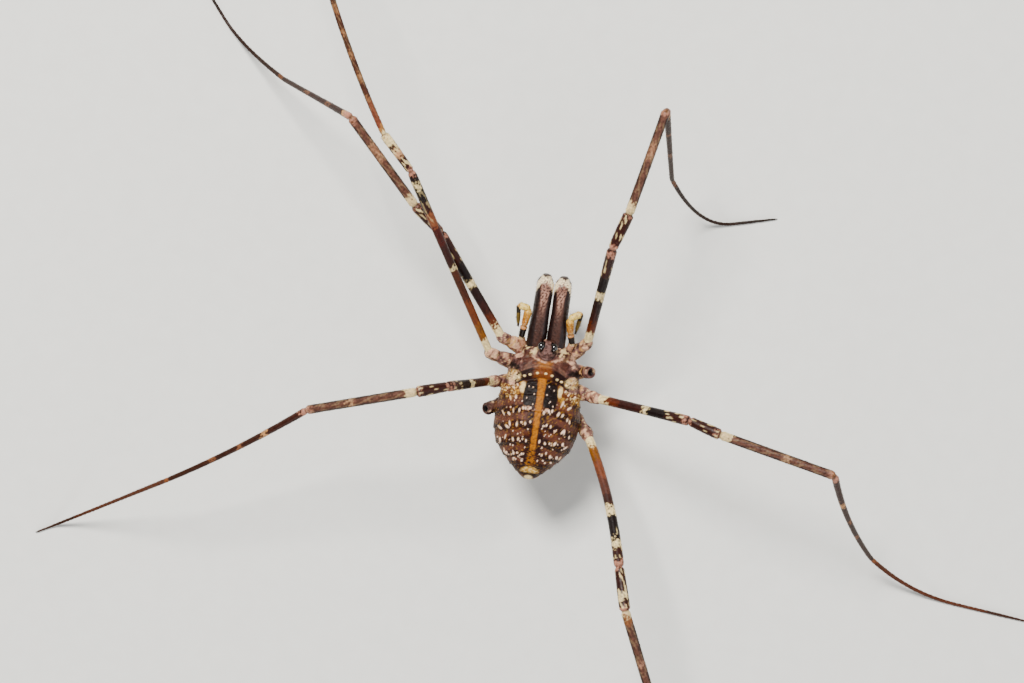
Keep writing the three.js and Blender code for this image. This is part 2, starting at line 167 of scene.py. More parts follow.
def paint(piece, colours):
    layer = piece.data.color_attributes.new("tint", "FLOAT_COLOR", "POINT")
    full = np.ones((len(piece.data.vertices), 4))
    full[:, :3] = colours
    layer.data.foreach_set("color", full.ravel())


def mark(piece, name, values):
    layer = piece.data.attributes.new(name, "FLOAT", "POINT")
    layer.data.foreach_set("value", values.astype(np.float32))


def readMark(piece, name):
    values = np.empty(len(piece.data.vertices), np.float32)
    piece.data.attributes[name].data.foreach_get("value", values)
    return values.astype(float)


def finishPiece(piece, nodes, material):
    piece.data.materials.clear()
    piece.data.materials.append(material)
    piece.data.shade_smooth()
    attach(piece, "root")
    if nodes:
        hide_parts(*nodes)


# Shapes

# Values of the stations' columns at shares of the way, on a smooth curve through them
def cubicThrough(stations, share):
    table = np.array(stations, float)
    n = len(table)
    t = np.clip(share, 0, 1) * (n - 1)
    i = np.minimum(t.astype(int), n - 2)
    w = (t - i)[:, None]
    p1, p2 = table[i], table[i + 1]
    p0 = np.where((i > 0)[:, None], table[np.maximum(i - 1, 0)], 2 * p1 - p2)
    p3 = np.where((i < n - 2)[:, None], table[np.minimum(i + 2, n - 1)], 2 * p2 - p1)
    return 0.5 * (2 * p1 + (p2 - p0) * w + (2 * p0 - 5 * p1 + 4 * p2 - p3) * w ** 2
                  + (3 * p1 - p0 - 3 * p2 + p3) * w ** 3)


# The radius at shares of the way, straight between the stations
def profile(stations, share):
    table = np.array(stations, float)
    return np.interp(share, table[:, 0], table[:, 1])


# A ball drawn out along Y; stations are [y, half width, top, bottom] from front to back
def mouldedBall(name, stations, segments, rings):
    piece = newBall(name, segments, rings)
    ball = coords(piece)
    share = np.arccos(np.clip(ball[:, 2], -1, 1)) / math.pi
    angle = np.arctan2(ball[:, 1], ball[:, 0])
    y, width, top, low = cubicThrough(stations, share).T
    width = np.maximum(width, 0)
    centre = top * 0.4 + low * 0.6
    reach = np.where(np.sin(angle) > 0, top - centre, centre - low)
    pole = (share < 1e-4) | (share > 1 - 1e-4)
    reach[pole] = 0
    width[pole] = 0
    points = np.stack([width * np.cos(angle), y,
                       coxalPlane + centre + reach * np.sin(angle)], 1)
    setBodyCoords(piece, points)
    return piece


# Tangent, side and upward directions along a path
def frames(path):
    tangent = np.gradient(path, axis=0)
    tangent /= np.linalg.norm(tangent, axis=1)[:, None]
    side = np.cross(tangent, [0, 0, 1.0])
    length = np.linalg.norm(side, axis=1)
    for i in range(1, len(side)):
        if length[i] < 0.12:
            side[i] = side[i - 1] - tangent[i] * (side[i - 1] @ tangent[i])
    side /= np.maximum(np.linalg.norm(side, axis=1), 1e-9)[:, None]
    for i in range(1, len(side)):
        blend = side[i] if side[i] @ side[i - 1] > 0 else -side[i]
        side[i] = 0.35 * blend + 0.65 * side[i - 1]
        side[i] -= tangent[i] * (side[i] @ tangent[i])
        side[i] /= np.linalg.norm(side[i])
    return tangent, side, np.cross(side, tangent)


# A grid rolled up along a path of even points, its ends drawn in to a point
def rolledTube(name, path, radius, sides, corner=1.0, tip=1.0):
    rings = len(path)
    caps = 7                         # rings in each rounded end
    tangent, side, up = frames(path)
    start = math.pi / 2 * (1 - np.arange(caps) / caps)        # angles round each end
    end = math.pi / 2 * np.arange(1, caps + 1) / caps
    rows = np.concatenate([path[0] - tangent[0] * radius[0] * np.sin(start)[:, None] * 0.8, path,
                           path[-1] + tangent[-1] * radius[-1] * np.sin(end)[:, None] * tip])
    radii = np.concatenate([radius[0] * np.cos(start), radius, radius[-1] * np.cos(end)])
    dirs = np.concatenate([np.full(caps, 0), np.arange(rings), np.full(caps, rings - 1)])
    count = len(rows)
    deselectAll()
    bpy.ops.mesh.primitive_grid_add(x_subdivisions=sides, y_subdivisions=count - 1, size=1)
    piece = bpy.context.object
    piece.name = name
    flat = coords(piece)
    around = (flat[:, 0] + 0.5) * 2 * math.pi
    row = np.rint((flat[:, 1] + 0.5) * (count - 1)).astype(int)
    c, s = np.cos(around), np.sin(around)
    c = np.sign(c) * np.abs(c) ** corner
    s = np.sign(s) * np.abs(s) ** corner
    points = (rows[row] + side[dirs[row]] * (c * radii[row])[:, None]
              + up[dirs[row]] * (s * radii[row])[:, None])
    share = np.clip((row - caps) / (rings - 1), 0, 1)
    setBodyCoords(piece, points)
    mark(piece, "along", share)
    mark(piece, "around", s)
    cleanUp(piece)
    return piece


def joined(name, pieces):
    deselectAll()
    for piece in pieces:
        piece.select_set(True)
    bpy.context.view_layer.objects.active = pieces[0]
    bpy.ops.object.join()
    piece = bpy.context.object
    piece.name = name
    return piece


# One closed surface round all that the piece holds
def fused(piece, voxel, rounds):
    use(piece)
    remesh = piece.modifiers.new("fuse", "REMESH")
    remesh.mode = "VOXEL"
    remesh.voxel_size = voxel * mm
    bpy.ops.object.modifier_apply(modifier=remesh.name)
    soften = piece.modifiers.new("soften", "SMOOTH")
    soften.factor = 0.5
    soften.iterations = rounds
    bpy.ops.object.modifier_apply(modifier=soften.name)
    return piece


def direction(heading, climb):
    turn, rise = math.radians(heading), math.radians(climb)
    return np.array([math.sin(turn) * math.cos(rise), math.cos(turn) * math.cos(rise),
                     math.sin(rise)])


def bend(a, b, c, count):
    t = np.linspace(0, 1, count)[:, None]
    return (1 - t) ** 2 * a + 2 * t * (1 - t) * b + t * t * c


# The same path with its points the same distance apart
def evened(path, step):
    gaps = np.linalg.norm(np.diff(path, axis=0), axis=1)
    run = np.concatenate([[0], np.cumsum(gaps)])
    count = max(int(run[-1] / step), 2) + 1
    want = np.linspace(0, run[-1], count)
    return np.stack([np.interp(want, run, path[:, k]) for k in range(3)], 1), run[-1]


# The path with its corners rounded
def eased(path, rounds):
    path = path.copy()
    for _ in range(rounds):
        path[1:-1] = 0.25 * path[:-2] + 0.5 * path[1:-1] + 0.25 * path[2:]
    return path


# Materials

# Fills a node's sockets, by name or number; the output of another node is linked
def plug(tree, node, sockets):
    for key, value in sockets.items():
        if isinstance(value, bpy.types.NodeSocket):
            tree.links.new(value, node.inputs[key])
        else:
            node.inputs[key].default_value = value


def newMaterial(name):
    material = bpy.data.materials.new(name)
    material.use_nodes = True
    tree = material.node_tree

    def add(kind, sockets, **settings):
        node = tree.nodes.new("ShaderNode" + kind)
        for key, value in settings.items():
            setattr(node, key, value)
        plug(tree, node, sockets)
        return node.outputs

    def surface(sockets):
        plug(tree, tree.nodes["Principled BSDF"], sockets)
    return material, add, surface


# Skin painted by the piece's own colours, with fine grain and pores
def chitin(name, grain, relief, gloss, coat=0.08, shine=0.3):
    material, add, surface = newMaterial(name)
    place = add("TexCoord", {})["Object"]
    scaled = add("Mapping", {"Vector": place, "Scale": (1000, 1000, 1000)})["Vector"]
    mottle = add("TexNoise", {"Vector": scaled, "Scale": 0.35 / grain, "Detail": 6,
                              "Roughness": 0.65})["Fac"]
    shade = add("MapRange", {"Value": mottle, "From Min": 0.3, "From Max": 0.7,
                             "To Min": 0.55, "To Max": 1.25})["Result"]
    tint = add("Attribute", {}, attribute_name="tint")["Color"]
    coloured = add("VectorMath", {0: tint, "Scale": shade}, operation="SCALE")["Vector"]
    wear = add("MapRange", {"Value": mottle, "From Min": 0.25, "From Max": 0.75,
                            "To Min": gloss - 0.1, "To Max": gloss + 0.16})["Result"]
    cells = add("TexVoronoi", {"Vector": scaled, "Scale": 1 / grain})["Distance"]
    pores = add("Math", {0: cells, 1: -0.8}, operation="MULTIPLY")["Value"]
    height = add("Math", {0: pores, 1: mottle}, operation="ADD")["Value"]
    bump = add("Bump", {"Height": height, "Strength": 0.7, "Distance": relief * mm})["Normal"]
    surface({"Base Color": coloured, "Roughness": wear, "Normal": bump, "Coat Weight": coat,
             "Coat Roughness": 0.25, "Specular IOR Level": shine, "Subsurface Weight": 0.06,
             "Subsurface Radius": (1.0, 0.4, 0.2), "Subsurface Scale": 0.15 * mm})
    return material


# Two tones mixed by fine noise
def mottled(name, scale, tones, sockets, stops=(0, 1)):
    material, add, surface = newMaterial(name)
    noise = add("TexNoise", {"Vector": add("TexCoord", {})["Object"], "Scale": scale})["Fac"]
    blend = add("ValToRGB", {"Fac": noise})["Color"]
    for stop, at, tone in zip(blend.node.color_ramp.elements, stops, tones):
        stop.position = at
        stop.color = (*tone, 1)
    surface({"Base Color": blend, **sockets})
    return material


bodyChitin = chitin("body chitin", grain=0.06, relief=0.018, gloss=0.5, coat=0.01, shine=0.15)
legChitin = chitin("leg chitin", grain=0.05, relief=0.01, gloss=0.42, coat=0.03, shine=0.18)
jawChitin = chitin("jaw chitin", grain=0.045, relief=0.012, gloss=0.4)
palpChitin = chitin("palp chitin", grain=0.04, relief=0.008, gloss=0.4)
eyeBlack = mottled("eye black", 9000, (linear("#050303"), linear("#1d0f0b")),
                   {"Roughness": 0.06, "Coat Weight": 1.0, "Coat Roughness": 0.02, "IOR": 1.5})
bristleHorn = mottled("bristle", 2500, (linear("#1c0d08"), linear("#6e4a32")),
                      {"Roughness": 0.45}, (0.4, 0.62))
palePaper = mottled("pale paper", 900, ((0.72, 0.72, 0.69), (0.78, 0.78, 0.75)),
                    {"Roughness": 0.9})


# Body

bodyForm = {
    "abdomen": [[1.1, 0, 0.3, 0.1], [0.9, 1.2, 1.0, -0.6], [0.3, 2.1, 1.36, -0.85],
                [-0.7, 2.38, 1.72, -1.1], [-2.0, 2.5, 1.95, -1.45], [-3.3, 2.26, 1.7, -1.35],
                [-4.2, 1.6, 1.25, -1.0], [-4.95, 0.85, 0.75, -0.6], [-5.35, 0.38, 0.4, -0.2],
                [-5.45, 0, 0.1, 0.1]],
    "carapace": [[2.75, 0, 0.15, 0.1], [2.7, 0.75, 0.4, -0.25], [2.4, 1.3, 0.75, -0.5],
                 [1.8, 1.8, 1.02, -0.75], [1.05, 2.08, 1.24, -0.75], [0.3, 2.08, 1.3, -0.75],
                 [-0.2, 1.6, 1.0, -0.5], [-0.4, 0, 0.2, 0.1]],
    "coxaRoots": [([0.78, 1.9, 5.05], [1.75, 2.3, 5.5]), ([0.85, 1.1, 4.95], [2.1, 1.25, 5.35]),
                  ([0.85, 0.28, 4.95], [2.15, 0.05, 5.35]),
                  ([0.85, -0.5, 4.95], [2.15, -1.25, 5.15])],
    "coxaRadii": [[0, 0.42], [0.2, 0.48], [0.5, 0.47], [0.68, 0.42], [0.77, 0.33], [0.9, 0.38],
                  [1, 0.34]],
    "plateEdges": [0.38, -0.5, -1.45, -2.4, -3.35, -4.1, -4.62, -5.02],
    "plateStep": 0.07,
    "lumps": {"bellyPlate": ((0, 0.35, -1.16), (0.42, 1.7, 0.24)),
              "eyeMound": ((0, 2.27, 0.93), (0.5, 0.56, 0.62)),
              "betweenCoxae": ((0, 1.2, -0.55), (1.6, 1.7, 0.5))},
    "bellySeams": [-1.0, -1.7, -2.4, -3.1, -3.75, -4.3],
    "voxel": 0.045,
}

hips = {
    "left_1": (0, [-2.75, 2.59, 6.2]),
    "right_1": (0, [2.28, 3.0, 6.2]),
    "left_2": (1, [-3.31, 1.57, 6.2]),
    "left_3": (2, [-2.96, -0.04, 6.2]),
    "right_3": (2, [3.32, -0.14, 6.2]),
    "right_4": (3, [3.12, -2.4, 6.0]),
    "right_2": (1, [2.62, 1.3, 6.3]),
    "left_4": (3, [-2.92, -1.62, 5.9]),
}
stumps = ("right_2", "left_4")


def sideOf(name):
    return -1 if name.startswith("left") else 1


def coxaPiece(name):
    pair, hip = hips[name]
    inner, outer = bodyForm["coxaRoots"][pair]
    flip = np.array([sideOf(name), 1, 1])
    path, _ = evened(bend(np.array(inner) * flip, np.array(outer) * flip, np.array(hip), 60), 0.06)
    radius = profile(bodyForm["coxaRadii"], np.linspace(0, 1, len(path))) * 0.99
    return rolledTube("coxa " + name, path, radius, 28)


def makeBody():
    pieces = [mouldedBall("bodySkin", bodyForm["abdomen"], segments=96, rings=72),
              mouldedBall("carapace", bodyForm["carapace"], segments=96, rings=60)]
    pieces += [coxaPiece(name) for name in hips]
    for name, (place, size) in bodyForm["lumps"].items():
        lump = newBall(name, segments=48, rings=32)
        setBodyCoords(lump, coords(lump) * size + np.array(place) + lift)
        pieces.append(lump)
    skin = fused(joined("bodySkin", pieces), bodyForm["voxel"], rounds=6)
    shapeBody(skin)
    colourBody(skin)
    finishPiece(skin, ["abdomen", "carapace", "eye_mound"]
                + ["coxa_" + name for name in hips], bodyChitin)
    return skin


wartForm = {
    "height": 0.055, "wide": 0.058,
    "small": 44, "smallRows": [-0.9, -1.35, -2.25, -2.7, -3.2, -3.55, -3.95, -4.2],
    "shoulders": [(1.6, 0.16), (1.85, -0.02), (1.62, -0.2), (2.02, -0.28), (1.42, -0.02)],
    "blocks": [(0.5, 0.08), (0.38, -0.3), (0.72, 0.02), (0.7, -0.7)],
}
# Rows of pale warts on the abdomen: y at the middle line, how the row bends back, places out
wartRows = [
    {"y": -0.5, "bow": -0.12, "x": [1.42, 1.75], "long": 0.12},
    {"y": -1.2, "bow": -0.14, "x": [0.36, 0.66, 0.9, 1.15, 1.46, 1.72, 1.98], "long": 0.12},
    {"y": -2.08, "bow": -0.13, "x": [0.37, 0.64, 0.92, 1.14, 1.5, 1.76, 2.04], "long": 0.12},
    {"y": -3.1, "bow": -0.05, "x": [0.42, 0.68, 0.95, 1.25, 1.66, 2.02], "long": 0.12},
    {"y": -3.88, "bow": -0.03, "x": [0.54, 0.8, 1.07, 1.42, 1.64], "long": 0.1},
    {"y": -4.3, "bow": -0.03, "x": [0.6, 0.86, 1.12], "long": 0.06},
]
warts = []
for row in wartRows:
    for x in row["x"]:
        for side in (-1, 1):
            wx = side * x + rng.normal(0, 0.06)
            wy = row["y"] + row["bow"] * x * x + rng.normal(0, 0.07)
            wide = wartForm["wide"] * rng.uniform(0.7, 1.25)
            long = row["long"] * rng.uniform(0.75, 1.25) * (1.2 if x > 1 else 0.75)
            warts.append((wx, wy, wide, long, side * rng.uniform(-0.1, 0.5) * x))
for side in (-1, 1):                       # small ones between the rows
    for _ in range(wartForm["small"]):
        y = rng.choice(wartForm["smallRows"]) + rng.normal(0, 0.1)
        size = rng.uniform(0.025, 0.042)
        warts.append((side * rng.uniform(0.32, 2.15), y, size, size * rng.uniform(1, 1.8),
                      rng.uniform(-0.6, 0.6)))
    for x, y in wartForm["shoulders"]:
        warts.append((side * x, y, 0.05, 0.08, side * 0.6))
    for x, y in wartForm["blocks"]:                                # on the black blocks
        warts.append((side * x + rng.normal(0, 0.04), y + rng.normal(0, 0.08), 0.035, 0.05, 0))
bandSpots = [(-1.41, 0.41), (-1.1, 0.56), (-0.79, 0.68), (-0.38, 0.83), (0.12, 0.86), (0.5, 0.79),
             (0.83, 0.6), (1.1, 0.51), (1.42, 0.34)]


def wartField(x, y):
    field = np.zeros(len(x))
    for wx, wy, wide, long, lean in warts:
        near = (np.abs(x - wx) < 0.3) & (np.abs(y - wy) < 0.3)
        dx, dy = x[near] - wx, y[near] - wy
        c, s = math.cos(lean), math.sin(lean)
        u, v = (dx * c - dy * s) / wide, (dx * s + dy * c) / long
        field[near] = np.maximum(field[near], 1 - smooth(0.55, 1.35, np.hypot(u, v)))
    return field


def bandArc(x):
    return 0.85 - 0.24 * x * x


# 1 on the seams that cross the belly, 0 away from them and on the legs' first lengths
def bellySeams(x, y):
    line = np.zeros(len(x))
    for seam in bodyForm["bellySeams"]:
        line = np.maximum(line, ridge(y - seam - 0.05 * x * x, 0.05))
    return line * smooth(0.2, 0.0, np.abs(x) - 0.85 + 0.75 * (y + 0.9))


def shapeBody(skin):
    points = bodyCoords(skin)
    local = points - lift
    x, y, z = local.T
    off = np.abs(x)
    onBack = smooth(-0.5, 0.0, z) * smooth(0.45, 0.2, y)
    rise = np.zeros(len(x))
    edges = bodyForm["plateEdges"]
    for front, rear in zip(edges, edges[1:]):
        across = y + 0.07 * x * x
        here = (across <= front) & (across > rear)
        share = np.clip((front - across) / (front - rear), 0, 1)
        rise[here] = (share ** 2 * smooth(1.0, 0.9, share))[here]
    lump = rise * bodyForm["plateStep"] * onBack * smooth(-5.35, -4.6, y)
    lump += wartField(x, y) * wartForm["height"] * smooth(-0.4, 0.1, z)
    # the band across the back stands up between two furrows
    arc = y - bandArc(x)
    top = smooth(0.6, 1.0, z) * smooth(1.75, 1.5, off)
    lump += 0.06 * ridge(arc, 0.17) * top
    lump -= 0.08 * ridge(arc + 0.33, 0.09) * smooth(0.5, 0.9, z)
    lump -= 0.035 * ridge(arc - 0.3, 0.06) * top
    for wx, wy in bandSpots:
        lump += 0.05 * blob((x - wx) / 0.08, (y - wy) / 0.07, 0.6) * smooth(0.4, 0.8, z)
    lump += 0.012 * ripple(points, 0.5, 3) + 0.01 * ripple(points, 0.2, 4)
    carapaceTop = smooth(1.2, 1.5, y) * smooth(0.1, 0.5, z)
    lump += carapaceTop * 0.05 * ripple(points, 0.42, 5)
    # furrows that run from the eye mound out to the sides
    run = smooth(0.8, 1.0, off) * smooth(2.1, 1.8, off) * smooth(0.2, 0.5, z)
    for way in (-0.5, 0.45):
        lump -= 0.045 * ridge((y - 1.75) - way * (off - 0.9), 0.07) * run
    # furrow round the eye mound, and the mound's own middle groove
    ring = np.hypot(x / 0.62, (y - 2.2) / 0.68)
    lump -= 0.06 * ridge(ring - 1.1, 0.14) * smooth(0.4, 0.8, z)
    lump -= 0.05 * ridge(x, 0.11) * smooth(1.1, 1.35, z) * (y > 1.7)
    # seams between the belly's plates, and the furrow round the plate between the legs
    lump -= 0.045 * bellySeams(x, y) * smooth(-0.4, -0.7, z)
    shield = np.hypot(x / 0.5, (y - 0.35) / 1.8)
    lump -= 0.06 * ridge(shield - 1, 0.07) * smooth(-0.9, -1.1, z)
    # shed legs leave open sockets
    for name in stumps:
        pair, hip = hips[name]
        hip = np.array(hip) - lift
        outer = np.array(bodyForm["coxaRoots"][pair][1]) - lift
        outer[0] *= sideOf(name)
        way = (hip - outer) / np.linalg.norm(hip - outer)
        depth = (local - hip) @ way
        across = np.linalg.norm(local - hip - depth[:, None] * way, axis=1)
        lump -= 0.3 * smooth(0.25, 0.12, across) * (depth > 0.05)
        lump += 0.05 * ridge(across - 0.29, 0.05) * (depth > 0.0)
    swell(skin, lump)


bodyTint = linearAll({
    "dark": "#3c140d", "black": "#1c0704", "brown": "#744c3e", "orange": "#ae7600",
    "deepOrange": "#7e4a14", "cream": "#ecd4a4", "pink": "#dab49a", "yellow": "#c49a3c",
    "lilac": "#876660", "mound": "#866a64", "belly": "#a4825e", "coxa": "#a07a6a",
    "wart": "#f4d8c2",
})


def bodyWash(ground, **shares):
    return wash(ground, bodyTint, **shares)


def colourBack(x, y, z, noise):
    wide, fine, tiny = noise
    off = np.abs(x)
    colour = bodyTint["dark"]
    edges = bodyForm["plateEdges"]
    for front, rear in zip(edges[:6], edges[1:]):      # dull brown front part of each plate
        across = y + 0.09 * x * x + 0.05 * fine
        share = (front - across) / (front - rear)
        band = smooth(0.02, 0.15, share) * smooth(0.62, 0.42, share)
        colour = bodyWash(colour, brown=band * 0.85 * smooth(0.35, 0.75, off))
    flank = smooth(0.3, -0.3, z) * smooth(0.0, 0.8, wide + 0.5 * fine)
    colour = bodyWash(colour, black=0.35 * smooth(0.0, 0.7, wide),
                      deepOrange=0.3 * smooth(0.3, 0.8, -wide + 0.4 * tiny),
                      yellow=0.28 * smooth(0.4, 0.9, tiny + 0.3 * fine), belly=0.45 * flank)
    # pale shoulders in front
    shoulder = smooth(0.92, 1.1, off) * smooth(-0.95, -0.3, y + 0.12 * fine)
    colour = bodyWash(colour, deepOrange=shoulder * 0.85,
                      yellow=shoulder * 0.8 * smooth(-0.1, 0.25, fine),
                      brown=shoulder * 0.8 * smooth(0.1, 0.5, -tiny),
                      cream=0.8 * smooth(1.35, 1.6, off) * shoulder * smooth(0.15, 0.6, tiny))
    patch = blob((off - 1.09 - 0.08 * fine * np.sign(x)) / 0.18, (y + 0.1) / 0.3, 0.3)
    block = blob((off - 0.6) / (0.4 - 0.05 * (y + 0.4)), (y + 0.41) / 0.76, 0.1, 3.5)
    cluster = blob((off - 0.55) / 0.34, (y + 1.28) / 0.12, 0.5)
    colour = bodyWash(colour, cream=patch * 0.95, black=block * 0.97,
                      pink=cluster * smooth(-0.1, 0.3, tiny + fine) * 0.9)
    wartTone = bodyWash(bodyTint["wart"], yellow=0.5 * smooth(0.3, 0.8, fine))
    colour = mix(colour, wartTone, wartField(x, y) * smooth(-0.5, 0.1, z))
    # orange middle stripe, breaking up towards the tip
    half = np.interp(-y, [-0.4, 1.2, 2.5, 3.7, 4.5], [0.25, 0.19, 0.165, 0.17, 0.3])
    stripe = smooth(half + 0.035, half - 0.035, np.abs(x + 0.01) + 0.03 * fine)
    stripe *= np.where(y > -3.65, 1.0, 0.85 * smooth(-0.5, 0.2, tiny + 0.6 * fine))
    worn = 0.5 * smooth(0.1, 0.7, tiny) + 0.4 * smooth(0.6, 1.0, off / half)
    colour = mix(colour, bodyWash(bodyTint["orange"], deepOrange=worn),
                 stripe * smooth(-4.7, -4.5, y))
    tanPatch = blob(x / 0.5, (y + 4.86 + 0.25 * x * x) / 0.2, 0.3)
    colour = bodyWash(colour, yellow=tanPatch * 0.95,
                      cream=tanPatch * 0.6 * smooth(-0.1, 0.4, tiny),
                      black=blob(x / 0.6, (y + 5.1) / 0.08) * 0.75)
    return bodyWash(colour, cream=blob(x / 0.24, (y + 5.34) / 0.15) * smooth(-0.12, 0.08, z))


def colourFront(x, y, z, noise):
    wide, fine, tiny = noise
    off = np.abs(x)
    plate = bodyWash(bodyTint["lilac"], brown=0.8 * smooth(-0.1, 0.5, wide),
                     dark=0.5 * smooth(0.1, 0.8, fine))
    # streaks that run out from the eye mound
    reach, turn = np.hypot(x, y - 1.9), np.arctan2(x, y - 1.9)
    ray = ripple(np.stack([1.1 * np.sin(turn), 1.1 * np.cos(turn), 0.3 * reach], 1), 0.3, 14)
    outside = smooth(0.5, 0.8, reach)
    plate = bodyWash(plate, dark=0.65 * outside * smooth(0.1, 0.6, -ray),
                     pink=0.85 * outside * smooth(0.0, 0.5, ray + 0.25 * tiny))
    # cream beside the eye mound and along the front rim
    pale = blob((off - 0.98) / 0.42, (y - 2.1) / 0.38, 0.5)
    plate = bodyWash(plate, cream=0.9 * pale * smooth(-0.2, 0.3, -fine - 0.4 * tiny))
    # brown saddle behind the mound, orange in the middle
    arc = y - bandArc(x)
    rear = smooth(1.7, 1.5, y - 0.38 * x * x) * smooth(1.55, 1.25, off - 0.15 * fine)
    saddle = bodyWash(bodyTint["brown"],
                      dark=0.5 * smooth(0.4, 1.2, off) + 0.3 * smooth(0.2, 0.8, fine),
                      orange=0.75 * smooth(0.62, 0.2, np.abs(x + 0.05) + 0.1 * fine))
    for level in (0.5, 0.72):
        saddle = bodyWash(saddle, black=0.5 * ridge(arc - level, 0.035))
    plate = mix(plate, saddle, 0.9 * rear)
    band = smooth(0.36, 0.28, np.abs(arc - 0.02)) * smooth(1.66, 1.54, off)
    bandTone = bodyWash(bodyTint["dark"] * 0.6, deepOrange=smooth(0.7, 0.35, np.abs(x + 0.05)))
    plate = mix(plate, bandTone, band)
    rim = ridge(y - 1.52 - 0.36 * x * x - 0.03 * tiny, 0.055)
    rim *= smooth(1.05, 0.8, np.abs(x - 0.1)) * smooth(-0.9, -0.2, fine)
    furrow = ridge(arc - 0.32, 0.04) * smooth(0.4, 0.7, off) * smooth(1.7, 1.4, off)
    plate = bodyWash(plate, black=0.8 * furrow, pink=rim * 0.95)
    blotch = blob((off - 1.82) / 0.46, (y - 1.02 - 0.1 * fine) / 0.17, 0.3)
    flank = blob((off - 1.75) / 0.4, (y - 0.48) / 0.32, 0.4)
    plate = bodyWash(plate, black=blotch * 0.95, cream=flank * 0.85 * smooth(-0.5, 0.2, tiny),
                     yellow=flank * 0.6 * smooth(0.0, 0.5, -fine))
    for wx, wy in bandSpots:
        plate = bodyWash(plate, cream=blob((x - wx) / 0.085, (y - wy) / 0.065, 0.3))
    ring = np.hypot(x / 0.54, (y - 2.2) / 0.6)
    mound = smooth(1.04, 0.92, ring) * smooth(0.6, 0.85, z)
    plate = bodyWash(plate, mound=mound, dark=mound * 0.6 * smooth(0.1, 0.6, tiny))
    plate = bodyWash(plate, dark=0.8 * ridge(ring - 1.0, 0.07) * (z > 0.6))
    gap = np.sqrt(((off - 0.37) / 0.82) ** 2 + ((y - 2.42) / 1.1) ** 2 + (z - 1.22) ** 2)
    return bodyWash(plate, black=smooth(0.37, 0.32, gap))         # sockets of the eyes


def colourLimbs(x, y, z, noise, points):
    wide, fine, tiny = noise
    off = np.abs(x)
    limb = bodyWash(bodyTint["coxa"], lilac=smooth(0.0, 0.5, wide),
                    pink=0.75 * smooth(0.0, 0.5, -wide - 0.5 * fine),
                    dark=0.65 * smooth(0.3, 0.9, fine + 0.3 * wide),
                    cream=0.55 * smooth(0.3, 0.8, tiny - 0.3 * fine),
                    yellow=0.5 * smooth(0.3, 0.7, -fine) * (off < 2.4))
    belly = bodyWash(bodyTint["belly"], coxa=smooth(-0.4, 0.4, wide),
                     cream=0.35 * smooth(0.2, 0.8, tiny), dark=0.3 * smooth(0.3, 0.9, fine))
    belly = bodyWash(belly, dark=0.6 * bellySeams(x, y))
    limb = mix(limb, belly, smooth(-0.45, -0.9, z) * (off < 2.6))
    for name, (_, hip) in hips.items():
        away = np.linalg.norm(points - hip, axis=1)
        limb = bodyWash(limb, dark=0.85 * ridge(away - 0.58, 0.1) * smooth(-0.4, 0.4, tiny + fine))
        if name in stumps:
            limb = bodyWash(limb, dark=smooth(0.75, 0.5, away) * smooth(-0.6, 0.0, fine),
                            black=smooth(0.34, 0.28, away),
                            lilac=0.8 * ridge(away - 0.36, 0.035))
    return limb


def colourBody(skin):
    points = bodyCoords(skin)
    noise = ripples(points, (0.9, 11), (0.34, 12), (0.2, 13))
    x, y, z = (points - lift).T
    colour = colourBack(x, y, z, noise)
    onFront = smooth(-0.32, -0.26, y - bandArc(np.clip(x, -1.6, 1.6)))
    colour = mix(colour, colourFront(x, y, z, noise), onFront)
    # the legs' first lengths, and the belly between and behind them
    halfWidth = np.interp(y, [-5.5, -4.9, -4.2, -3.3, -2.0, -0.7, 0.4, 1.0, 1.8, 2.3, 2.7],
                          [0, 0.95, 1.7, 2.36, 2.6, 2.5, 2.15, 2.05, 1.75, 1.35, 0.9])
    limbs = np.maximum(smooth(0.0, 0.15, np.abs(x) - halfWidth), smooth(-0.45, -0.6, z))
    limbs = np.maximum(limbs, smooth(-0.15, -0.3, z) * (y > 0.2))
    paint(skin, mix(colour, colourLimbs(x, y, z, noise, points), limbs))


body = makeBody()
print("body skin:", len(body.data.polygons), "faces")


# Eyes

eyeForm = {"size": [0.235, 0.285, 0.27], "at": [0.37, 2.42, 1.22], "climb": 38, "lens": 0.12}


def makeEye(sideName, side):
    eye = newBall(sideName + "Eye", segments=48, rings=32)
    ball = coords(eye) * eyeForm["size"]
    out = direction(90 * side, eyeForm["climb"])
    lens = eyeForm["lens"] * np.maximum(ball @ out, 0) ** 2 / eyeForm["size"][2]
    ball += out * lens[:, None] * 0.3
    x, y, z = eyeForm["at"]
    setBodyCoords(eye, ball * 0.985 + [side * x, y, coxalPlane + z])
    finishPiece(eye, ["eye_" + sideName], eyeBlack)


makeEye("left", -1)
makeEye("right", 1)
print("eyes done")


# Jaws

jawForm = {
    "lean": -0.14, "halfWidth": 0.5, "gap": 0.02, "length": 3.75, "hand": 3.3,
    "baseRadii": [(0, 0.56), (0.3, 0.57), (0.6, 0.5), (0.88, 0.51), (1, 0.49)],
    "handRadii": [(0, 0.4), (0.12, 0.4), (0.18, 0.42), (0.3, 0.46), (0.65, 0.475), (0.88, 0.4),
                  (1, 0.29)],
    "fingerRadii": [(0, 0.23), (0.6, 0.16), (1, 0.05)],
    "teeth": 4,
    "voxel": 0.027,
}
jawTint = linearAll({
    "top": "#6c4c42", "side": "#2c1410", "tip": "#f6e4c2", "hand": "#3c1c14",
    "pink": "#c8a08e", "claw": "#140806", "brown": "#6a3a26", "nub": "#4a3830",
})


